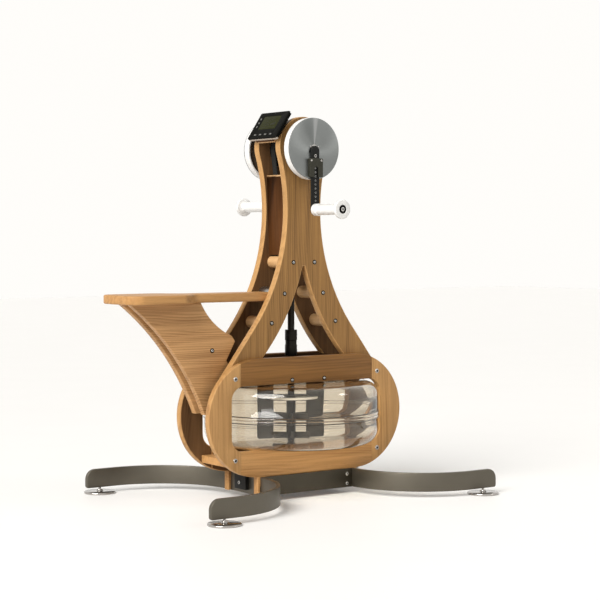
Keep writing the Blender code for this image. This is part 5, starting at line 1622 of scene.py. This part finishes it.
@dataclass
class Cranks:
    """Wheel, guide, sliding bar and grip on each side.

    A screw or bolt is given by its head's radius and height and its socket's radius. The grip's profiles
    hold radii with distances from the bar, from the flange's start and from the grip's end.
    """

    wheel_radius: float = 0.0895
    wheel_face: float = 0.1158
    wheel_thickness: float = 0.025
    wheel_gap: float = 0.0006
    wheel_edge: float = 0.002
    groove: float = 0.0006
    disc: float = 0.003
    hub_radius: float = 0.03
    rim_inner: float = 0.083
    dish_depth: float = 0.015
    liner_proud: float = 0.0006
    liner_sunk: float = 0.0002
    liner_gap: float = 0.001
    bore: float = 0.0128
    wheel_screw: Point = (0.0032, 0.0014, 0.0015)
    wheel_screw_lift: float = -0.0011
    wheel_screw_places: tuple[Place, Place] = ((-0.012, 0.0045), (0.015, 0.005))
    bar_width: float = 0.028
    bar_thickness: float = 0.006
    bar_edge: float = 0.0009
    length: float = 0.1765
    overrun: float = 0.008
    hole_radius: float = 0.0018
    hole_pitch: float = 0.0117
    holes: int = 9
    first_hole: float = 0.026
    rim_width: float = 0.0007
    rim_depth: float = 0.0003
    rim_proud: float = 0.00008
    bar_bolt: Point = (0.0055, 0.0016, 0.0026)
    bar_bolt_lift: float = -0.0015
    bar_bolt_drop: float = 0.0215
    sleeve_width: float = 0.046
    sleeve_height: float = 0.054
    sleeve_drop: float = 0.0285
    sleeve_web: float = 0.0052
    sleeve_corner: float = 0.003
    sleeve_edge: float = 0.0008
    slot_width: float = 0.014
    slot_height: float = 0.03
    rail_corner: float = 0.0025
    rail_edge: float = 0.0005
    rail_lap: float = 0.001
    sleeve_screw: Point = (0.003, 0.0012, 0.0015)
    sleeve_screw_inset: Place = (0.0055, 0.006)
    pin_radius: float = 0.006
    pin_edge: float = 0.0006
    cap_radius: float = 0.01225
    cap_inner: float = 0.0075
    cap_depth: float = 0.004
    cap_edge: float = 0.0004
    cap_bolt: Point = (0.0062, 0.0012, 0.003)
    cap_bolt_lift: float = -0.0012
    grip_end: float = 0.2536
    grip_radius: float = 0.016
    grip_bore: float = 0.0063
    grip_swell: float = 0.0006
    grip_start: float = 0.022
    grip_ease: float = 0.003
    grip_edge: float = 0.0009
    flange_depth: float = 0.01
    collar: tuple[Place, ...] = ((0.0168, 0.0), (0.0178, 0.001), (0.0178, 0.017), (0.0172, 0.0185))
    flange: tuple[Place, ...] = ((0.02, -0.0008), (0.0255, 0.0002), (0.0275, 0.0022))
    grip_cap: tuple[Place, ...] = ((0.0275, -0.0024), (0.025, -0.0003), (0.0136, 0.0), (0.01255, -0.0006))

    def __post_init__(self) -> None:
        """Work out where the bar's faces and the two handles are."""
        self.bar_inner = self.wheel_face + 2 * CLEAR
        self.bar_outer = self.bar_inner + self.bar_thickness
        rest = CRANK_HEIGHT - self.length
        self.handle = {"right": rest, "left": rest + self.hole_pitch}

    def turned(self, profile: Array, steps: int, side: int, height: float = CRANK_HEIGHT) -> Surface:
        """A profile turned about a crosswise axis at a height."""
        return lathe(profile, steps, "Y", (0.0, 0.0, height), side)

    def liner(self, dish: float, mouth: float) -> Array:
        """Profile of the dark skin of painted shade in a wheel's open back, from the dish's floor to its
        mouth.
        """
        near, far = self.hub_radius + self.liner_gap, self.rim_inner
        proud, sunk = self.liner_proud, self.liner_sunk
        return chain(
            (near, dish - proud), (far - proud, dish - proud), (far - proud, mouth), (far + sunk, mouth),
            (far + sunk, dish + sunk), (near, dish + sunk),
        )

    def wheel(self, label: str, side: int, shop: Workshop) -> None:
        """White rim and hub, a turned metal face with painted shade and highlight wedges, a dark liner of
        painted shade in the open back, and its screws.
        """
        radius, edge = self.wheel_radius, self.wheel_edge
        back = PLATE_OUTER + self.wheel_gap
        disc_back = self.wheel_face - self.disc
        step = disc_back - self.groove
        rim_back = self.wheel_face - self.wheel_thickness
        dish = rim_back + self.dish_depth
        body = chain(
            (self.bore, back), (self.hub_radius, back), (self.hub_radius, dish), (self.rim_inner, dish),
            (self.rim_inner, rim_back), (radius, rim_back), (radius, step), (radius - edge, step),
            (radius - edge, disc_back - CLEAR), (self.bore, disc_back - CLEAR),
        )
        face = ring_section(self.bore, radius - self.groove, disc_back, self.wheel_face)
        head = socket_head(*self.wheel_screw, self.wheel_screw_lift)
        places = [(x, side * self.wheel_face, CRANK_HEIGHT + z) for x, z in self.wheel_screw_places]
        screws = [head.placed(facing(side, *place)) for place in places]
        parts = [
            (self.turned(filleted(body, edge, 4), 112, side), WHITE_PLASTIC),
            (self.turned(filleted(face, self.groove), 112, side), DISC_METAL),
            (self.turned(self.liner(dish, rim_back + edge), 112, side), PAINTED_SHADE_DISH),
            (together(screws), CHROME),
        ]
        shop.piece(f"{label}_wheel_turned", "crank", parts, (f"{label}_wheel",))

    def sleeve(self, label: str, side: int, shop: Workshop) -> None:
        """Guide: a web with an open slot at its foot over two side rails."""
        split = self.bar_outer + CLEAR
        front = split + self.sleeve_web
        half, slot, corner = self.sleeve_width / 2, self.slot_width / 2, self.sleeve_corner
        top = CRANK_HEIGHT - self.sleeve_drop
        bottom = top - self.sleeve_height
        notch = arc((0, bottom + self.slot_height - slot), slot, 0, 180, 12)
        inset, low, high = half - corner, bottom + corner, top - corner
        web = chain(
            (slot, bottom), notch, (-slot, bottom), arc((-inset, low), corner, 270, 180, 4),
            arc((-inset, high), corner, 180, 90, 4), arc((inset, high), corner, 90, 0, 4),
            arc((inset, low), corner, 0, -90, 4),
        )
        surfaces = [side_board(web, side, split, front, self.sleeve_edge)]
        channel = self.bar_width / 2 + CLEAR
        rail = (half - channel) / 2
        half_height, middle = self.sleeve_height / 2, (top + bottom) / 2
        back = self.wheel_face + CLEAR
        for way in (-1, 1):
            outline = round_box(rail, half_height, self.rail_corner, (way * (channel + rail), middle))
            surfaces.append(side_board(outline, side, back, split + self.rail_lap, self.rail_edge))
        across, height = half - self.sleeve_screw_inset[0], top - self.sleeve_screw_inset[1]
        head = socket_head(*self.sleeve_screw)
        heads = [head.placed(facing(side, way * across, side * front, height)) for way in (-1, 1)]
        parts = [(together(surfaces), SLEEVE_STEEL), (together(heads), CHROME)]
        shop.piece(f"{label}_crank_guide", "crank", parts, (f"{label}_crank_sleeve",))

    def bar(self, label: str, side: int, shop: Workshop) -> None:
        """Sliding bar with bright-rimmed holes, a flush bolt, the grip's pin and the end cap."""
        z = self.handle[label]
        half = self.bar_width / 2
        top = self.length + self.overrun - half
        outline = chain(arc((0, z), half, 180, 360, 24), arc((0, z + top), half, 0, 180, 24))
        heights = z + self.first_hole + self.hole_pitch * np.arange(self.holes)
        holes = tuple(arc((0, height), self.hole_radius, 0, 330, 11) for height in heights)
        strip = side_board(outline, side, self.bar_inner, self.bar_outer, self.bar_edge, holes)
        start, cap_in = self.bar_inner + CLEAR, self.grip_end - self.cap_depth
        cap_out = self.grip_end - self.cap_edge
        pin = chain(
            (0, start), (self.pin_radius, start), (self.pin_radius, cap_in), (self.cap_radius, cap_in),
            (self.cap_radius, cap_out - self.cap_edge), (self.cap_inner, cap_out), (0, cap_out),
        )
        rim_radius = self.hole_radius + self.rim_width
        rim = ring_section(self.hole_radius, rim_radius, -self.rim_depth, self.rim_proud)
        face, bolt_height = side * self.bar_outer, z + self.length - self.bar_bolt_drop
        rims = [lathe(rim, 16).placed(facing(side, 0.0, face, height)) for height in heights]
        cap_bolt = socket_head(*self.cap_bolt, self.cap_bolt_lift)
        bolt = socket_head(*self.bar_bolt, self.bar_bolt_lift)
        parts = [
            (strip, BLACK_STEEL),
            (together(rims), STEEL),
            (self.turned(filleted(pin, self.pin_edge), 48, side, z), BLACK_PLASTIC),
            (cap_bolt.placed(facing(side, 0.0, side * self.grip_end, z)), STEEL),
            (bolt.placed(facing(side, 0.0, face, bolt_height)), CHROME),
        ]
        shop.piece(f"{label}_crank_bar_strip", f"{label}_bar", parts, (f"{label}_crank_bar",))

    def grip(self, label: str, side: int, shop: Workshop) -> None:
        """White grip: collar, slim body that swells slightly in the middle, and end flange."""
        start = self.bar_outer + CLEAR
        cap_in = self.grip_end - self.cap_depth - CLEAR
        flange_in = self.grip_end - self.flange_depth
        run = np.linspace(start + self.grip_start, flange_in - self.grip_ease, 14)
        bulge = self.grip_swell * (np.sin(np.linspace(0, pi, len(run))) - 1)
        profile = chain(
            (self.grip_bore, start), np.array(self.collar) + (0, start),
            np.column_stack((self.grip_radius + bulge, run)), np.array(self.flange) + (0, flange_in),
            np.array(self.grip_cap) + (0, self.grip_end), (self.grip_cap[-1][0], cap_in),
            (self.grip_bore, cap_in),
        )
        turned = self.turned(filleted(profile, self.grip_edge), 72, side, self.handle[label])
        parts = [(turned, WHITE_PLASTIC)]
        shop.piece(f"{label}_grip_turned", f"{label}_grip_body", parts, (f"{label}_grip",), sharp=50)

    def build(self, shop: Workshop) -> None:
        """Both sides."""
        for label, side in SIDES.items():
            for build_one in (self.wheel, self.sleeve, self.bar, self.grip):
                build_one(label, side, shop)


@dataclass
class Console:
    """Leaning block, black body, olive screen with plain marks, and four keys.

    Drawn with x up the face, y to the user's left and z out of the face. A strip of the screen's marks is
    given by its place from the screen's middle and its two half sides, a row of digits by its place, half
    height and columns.
    """

    block_floor: float = 0.08223
    block_thickness: float = 0.013
    pale_layer: float = 0.005
    block_high: float = 0.034
    block_low: float = 0.0325
    block_edge: float = 0.0006
    width: float = 0.145
    height: float = 0.0937
    depth: float = 0.0111
    rise: float = 0.014
    corner: float = 0.005
    plate_depth: float = 0.0045
    plate_edge: float = 0.0012
    pocket_depth: float = 0.0064
    pocket_corner: float = 0.001
    inset: float = 0.002
    inset_corner: float = 0.004
    back_edge: float = 0.0005
    middle_edge: float = 0.0001
    strip_height: float = 0.0058
    strip_inset: float = 0.001
    strip_corner: float = 0.002
    strip_edge: float = 0.0004
    screen_width: float = 0.085
    screen_height: float = 0.046
    screen_rise: float = 0.009
    glass_thickness: float = 0.002
    glass_edge: float = 0.0003
    window_corner: float = 0.0012
    icon: Point = (0.003, 0.0026, 0.0009)
    icon_side: float = 0.056
    icon_rises: tuple[float, ...] = (0.024, 0.01, -0.004)
    key_width: float = 0.015
    key_height: float = 0.007
    key_pitch: float = 0.026
    key_drop: float = 0.0345
    key_depth: float = 0.005
    key_proud: float = 0.0014
    key_corner: float = 0.0012
    key_edge: float = 0.0006
    key_mark: Point = (0.0018, 0.0042, 0.0008)
    mark_rise: float = 0.0001
    stroke: float = 0.0005
    digit_rows: tuple[tuple[float, float, tuple[float, ...]], ...] = (
        (0.01, 0.0055, (-0.024, -0.013, 0.004, 0.015)),
        (-0.006, 0.0042, (-0.02, -0.011, -0.002)),
    )
    rule_rises: Place = (-0.0165, 0.019)
    rule: Place = (0.0004, 0.036)

    def __post_init__(self) -> None:
        """Stack the layers out from the crank axle."""
        self.block_face = self.block_floor + self.block_thickness
        self.low = self.block_face + CLEAR
        self.face = self.low + self.depth
        self.glass_low = self.face - self.glass_thickness - CLEAR
        self.screen_place = (self.rise + self.screen_rise, 0.0)
        lean = Matrix.Rotation(radians(CONSOLE_LEAN - 90), 4, "Y")
        self.place = Matrix.Translation((0, 0, CRANK_HEIGHT)) @ lean
        self.key_places = [(self.rise - self.key_drop, (i - 1.5) * self.key_pitch) for i in range(4)]

    def fit(
        self, shop: Workshop, name: str, parts: Parts, node: str, body: str = "frame",
        grain: Grain | None = None,
    ) -> None:
        """Make a piece of surfaces that are drawn on the console's face."""
        placed = [(surface.placed(self.place), finish) for surface, finish in parts]
        shop.piece(name, body, placed, (node,), grain)

    def segments(self) -> Surface:
        """Plain seven-segment noughts in two rows, a bar graph and two rules, as thin raised strips."""
        level = self.glass_low + self.glass_thickness
        thin = self.stroke
        strips: list[tuple[float, float, float, float]] = []
        for x, size, columns in self.digit_rows:
            half, tall = size * 0.55, size * 0.92
            for y in columns:
                strips += [(x + size, y, thin, half), (x - size, y, thin, half)]
                strips += [(x, y + half, tall, thin), (x, y - half, tall, thin)]
        strips += [(-0.0065 + 0.0006 * i, 0.01 + 0.0036 * i, 0.0022 + 0.0006 * i, 0.0011) for i in range(6)]
        strips += [(x, 0.0, *self.rule) for x in self.rule_rises]
        middle, top = self.screen_place[0], level + 1.2 * self.mark_rise
        return together([mark(box_outline(a, b, (middle + x, -y)), level, top) for x, y, a, b in strips])

    def build_block(self, shop: Workshop) -> None:
        """The leaning block between the plates: a pale layer of painted highlight below a layer darkened with
        painted shade.
        """
        half = (self.block_high + self.block_low) / 2
        outline = box_outline(half, HALF_GAP - CLEAR, ((self.block_high - self.block_low) / 2, 0))
        split = self.block_floor + self.pale_layer
        pale = board(outline, self.block_floor, split, self.block_edge, Lay.LEVEL)
        dark = board(outline, split, self.block_face, self.block_edge, Lay.LEVEL)
        parts = [(pale, PALE_OAK_AND_PAINTED_HIGHLIGHT), (dark, PAINTED_SHADE_COVER_WOOD)]
        self.fit(shop, "console_board_wood", parts, "console_board", grain=Grain(GrainWay.Y, 9.1))

    def build_body(self, shop: Workshop) -> None:
        """A front plate with openings over a middle with the keys' pockets, a back and a pale strip of
        painted highlight.
        """
        outer = round_box(self.height / 2, self.width / 2, self.corner, (self.rise, 0), 6)
        half_high, half_wide = self.screen_height / 2 + CLEAR, self.screen_width / 2 + CLEAR
        window = round_box(half_high, half_wide, self.window_corner, self.screen_place, 3)
        half_high, half_wide = self.key_height / 2 + CLEAR, self.key_width / 2 + CLEAR
        corner = self.pocket_corner
        pockets = tuple(round_box(half_high, half_wide, corner, place, 3) for place in self.key_places)
        foot, top = self.rise - self.height / 2, self.rise + self.height / 2 - self.inset
        strip_top = foot + self.strip_height
        centre = ((top + strip_top) / 2, 0)
        inner = round_box((top - strip_top) / 2, self.width / 2 - self.inset, self.inset_corner, centre, 6)
        plate_low, pocket_floor = self.face - self.plate_depth, self.face - self.pocket_depth
        back = board(inner, self.low, pocket_floor, self.back_edge, Lay.LEVEL)
        lapped = (pocket_floor - CLEAR, plate_low + CLEAR)
        middle = board(inner, *lapped, self.middle_edge, Lay.LEVEL, pockets)
        front = board(outer, plate_low, self.face, self.plate_edge, Lay.LEVEL, (window, *pockets))
        half_strip = self.strip_height / 2
        half_wide, centre = self.width / 2 - self.strip_inset, (strip_top - half_strip, 0)
        strip = round_box(half_strip, half_wide, self.strip_corner, centre)
        icon_low, icon_high = self.face - self.mark_rise, self.face + 1.5 * self.mark_rise
        icons = []
        for x in self.icon_rises:
            icon = round_box(*self.icon, (self.rise + x, self.icon_side), 3)
            icons.append(mark(icon, icon_low, icon_high, 0.00005))
        parts = [
            (together([back, middle, front]), BLACK_PLASTIC),
            (together(icons), ICON_GREY),
            (board(strip, self.low, plate_low, self.strip_edge, Lay.LEVEL), PAINTED_HIGHLIGHT_STRIP),
        ]
        self.fit(shop, "console_body_moulding", parts, "console_body")

    def build(self, shop: Workshop) -> None:
        """Block, body, screen and keys."""
        self.build_block(shop)
        self.build_body(shop)
        pane = box_outline(self.screen_height / 2, self.screen_width / 2, self.screen_place)
        level = self.glass_low + self.glass_thickness
        glass = board(pane, self.glass_low, level, self.glass_edge, Lay.LEVEL)
        parts = [(glass, SCREEN_GLASS), (self.segments(), SCREEN_MARK)]
        self.fit(shop, "console_screen_window", parts, "console_screen")
        top = self.face + self.key_proud
        for index, place in enumerate(self.key_places, start=1):
            outline = round_box(self.key_height / 2, self.key_width / 2, self.key_corner, place, 4)
            sign = round_box(*self.key_mark, place, 3)
            parts = [
                (board(outline, self.face - self.key_depth, top, self.key_edge, Lay.LEVEL), RUBBER),
                (mark(sign, top - self.mark_rise, top + self.mark_rise, 0.00004), ICON_GREY),
            ]
            self.fit(shop, f"console_key_{index}", parts, f"console_button_{index}", f"button_{index}")


@dataclass(frozen=True)
class BoltKind:
    """Sizes and finishes of one kind of bolt: its ring, its head and its socket."""

    ring: float
    head: float
    socket: float
    ring_finish: Finish = DARK_STEEL
    head_finish: Finish = STEEL
    ring_height: float = 0.0008
    head_height: float = 0.0018

    def parts(self, seats: list[Matrix]) -> Parts:
        """Rings, heads and dark discs of painted shade on the socket floors, at the given seats, whose +Z
        points out of the face.
        """
        ring = lathe(filleted(ring_section(0, self.ring, 0, self.ring_height), 0.0004), 36)
        head = socket_head(self.head, self.head_height, self.socket, self.ring_height - 0.0001)
        floor = self.ring_height + SOCKET_WALL[-1][1] * self.head_height
        # A dark disc on each socket's floor paints the shade in the socket
        painted_shade_plug = lathe(rod(0.9 * self.socket, floor - 0.0003, floor + 0.0002, 0.0001), 24)
        kinds = ((ring, self.ring_finish), (head, self.head_finish), (painted_shade_plug, BLACK_STEEL))
        return [(together([surface.placed(seat) for seat in seats]), finish) for surface, finish in kinds]


@dataclass
class Bolts:
    """Socket screws that hold the boards, in one piece per group and side."""

    plates: SidePlates
    plain_bolt: BoltKind = BoltKind(0.0068, 0.0036, 0.002)
    bright_bolt: BoltKind = BoltKind(0.0068, 0.0062, 0.004, STEEL, STEEL)
    small_bolt: BoltKind = BoltKind(0.0052, 0.0046, 0.0026, STEEL, STEEL)
    corner_places: tuple[Place, Place] = ((0.2545, 0.3585), (0.255, 0.127))
    rail_place: Place = (0.0575, 0.347)
    band_x: float = 0.139
    band_heights: Place = (0.058, 0.03)
    seat_place: Place = (-0.299, 0.4388)
    bracket_place: Place = (0.004, 0.0486)

    def build(self, shop: Workshop) -> None:
        """Every visible bolt."""
        ways = tuple(ENDS.values())
        dowels = [self.plates.dowel_place(i) for i in range(3)]
        legs = [(way * x, z) for x, z in dowels for way in ways]
        corners = [(way * x, z) for x, z in self.corner_places for way in ways]
        rails = [(way * self.rail_place[0], self.rail_place[1]) for way in ways]
        band = [(way * self.band_x, z) for way in ways for z in self.band_heights]
        groups = {
            "leg_bolts": (legs, PLATE_OUTER, self.plain_bolt),
            "corner_bolts": (corners, OVAL_OUTER, self.bright_bolt),
            "rail_bolts": (rails, OVAL_OUTER, self.plain_bolt),
            "band_bolts": (band, OVAL_OUTER + CLEAR + BAND_THICKNESS, self.small_bolt),
            "seat_bolts": ([self.seat_place], PANEL_OUTER, self.plain_bolt),
        }
        for label, side in SIDES.items():
            for name, (places, face, kind) in groups.items():
                seats = [facing(side, x, side * face, z) for x, z in places]
                shop.piece(f"{label}_{name}", "frame", kind.parts(seats))
        bracket_face = -BOW_APEX - BAR_THICKNESS / 2 - CLEAR - BRACKET_THICKNESS
        seat = Matrix.Translation((bracket_face, *self.bracket_place)) @ Matrix.Rotation(-pi / 2, 4, "Y")
        shop.piece("bracket_bolt", "frame", self.small_bolt.parts([seat]))


@dataclass
class Studio:
    """Pale floor, soft lamps, pale world and the camera at the photograph's angle.

    A softbox is given by its name, place, size and power.
    """

    floor_half: float = 14.0
    ambient: float = 0.24
    floor_glow: float = 0.1
    paper: tuple[Colour, Colour] = ((0.86, 0.852, 0.838), (0.885, 0.877, 0.863))
    backdrop: Colour = (1.0, 0.985, 0.955)
    lamp_colour: Colour = (1.0, 0.985, 0.96)
    sun_place: Point = (-0.88, -0.28, 0.78)
    sun_strength: float = 3.4
    sun_spread: float = 40.0
    target: Point = (AXIS_X, 0.0, 0.45)
    camera_place: Point = (-2.7967, -3.9989, 0.7706)
    camera_turn: Place = (87.711, -35.709)
    lens: float = 99.73
    sensor: float = 36.0
    far_limit: float = 60.0
    softboxes: tuple[tuple[str, Point, float, float], ...] = (
        ("left_softbox", (-3.4, -1.6, 1.9), 1.3, 28.0),
        ("front_softbox", (3.0, -3.0, 3.1), 1.0, 24.0),
    )

    @staticmethod
    def background_share(sketch: Sketch) -> Socket:
        """1 for camera, glossy and transmission rays, 0 for the others."""
        path = sketch.add("LightPath")
        both = sketch.plus(path.outputs["Is Camera Ray"], path.outputs["Is Glossy Ray"])
        return sketch.plus(both, path.outputs["Is Transmission Ray"], True)

    def build_world(self) -> None:
        """White where it is seen, softer where it lights."""
        world = bpy.data.worlds.new("studio_world")
        world.use_nodes = True
        bpy.context.scene.world = world
        sketch = Sketch(world.node_tree)
        background = world.node_tree.nodes["Background"]
        sketch.set_input(background, "Color", self.backdrop)
        strength = sketch.scaled(self.background_share(sketch), 1.0 - self.ambient, self.ambient)
        sketch.set_input(background, "Strength", strength)

    def build_floor(self) -> None:
        """A level sheet with faint mottling; seen rays get some of the background's white."""
        mesh = bpy.data.meshes.new("studio_floor")
        corners = box_outline(self.floor_half, self.floor_half)
        mesh.from_pydata(np.column_stack((corners, np.zeros(len(corners)))), [], [(0, 1, 2, 3)])
        floor = in_scene("studio_floor", mesh)
        material, sketch, shader = new_material("studio_floor_paper")
        mottle = sketch.noise(sketch.add("TexCoord").outputs["Object"], 3.0, 3.0)
        sketch.set_input(shader, "Base Color", sketch.mix(mottle, *self.paper))
        shader.inputs["Roughness"].default_value = 0.55
        sketch.set_input(shader, "Emission Color", self.backdrop)
        glow = sketch.times(self.background_share(sketch), self.floor_glow)
        sketch.set_input(shader, "Emission Strength", glow)
        mesh.materials.append(material)

    def hang(self, light: bpy.types.Light, place: Point, target: Point) -> None:
        """Place a lamp so that it shines on a target."""
        light.color = self.lamp_colour
        lamp = in_scene(light.name, light)
        aim = Vector(place) - Vector(target)
        lamp.matrix_world = Matrix.Translation(place) @ aim.to_track_quat("Z", "Y").to_matrix().to_4x4()

    def build_camera(self) -> None:
        """The camera at the photograph's place."""
        data = bpy.data.cameras.new("camera")
        data.lens = self.lens
        data.sensor_width = self.sensor
        data.clip_end = self.far_limit
        camera = in_scene("camera", data)
        camera.location = self.camera_place
        tilt, turn = (radians(angle) for angle in self.camera_turn)
        camera.rotation_euler = (tilt, 0.0, turn)
        bpy.context.scene.camera = camera

    def build(self) -> None:
        """World, floor, lamps and camera."""
        bpy.context.scene.view_settings.view_transform = "Standard"
        self.build_world()
        self.build_floor()
        sun = bpy.data.lights.new("key_sun", "SUN")
        sun.energy = self.sun_strength
        sun.angle = radians(self.sun_spread)
        self.hang(sun, self.sun_place, (0.0, 0.0, 0.0))
        for name, place, size, power in self.softboxes:
            data = bpy.data.lights.new(name, "AREA")
            data.size = size
            data.energy = power
            self.hang(data, place, self.target)
        self.build_camera()


def main() -> None:
    """Build the sub-assemblies in order, then the studio."""
    logging.basicConfig(level=logging.INFO, format="%(message)s")
    shop = Workshop()
    plates = SidePlates()
    plates.build(shop)
    for assembly in (
        Ovals(), InnerBoards(plates), Seat(plates), Base(), Feet(), Tank(), DriveLine(), Cranks(), Console(),
        Bolts(plates),
    ):
        assembly.build(shop)
        LOG.info("%s built, %d pieces so far", type(assembly).__name__, shop.count)
    Studio().build()


if __name__ == "__main__":
    main()
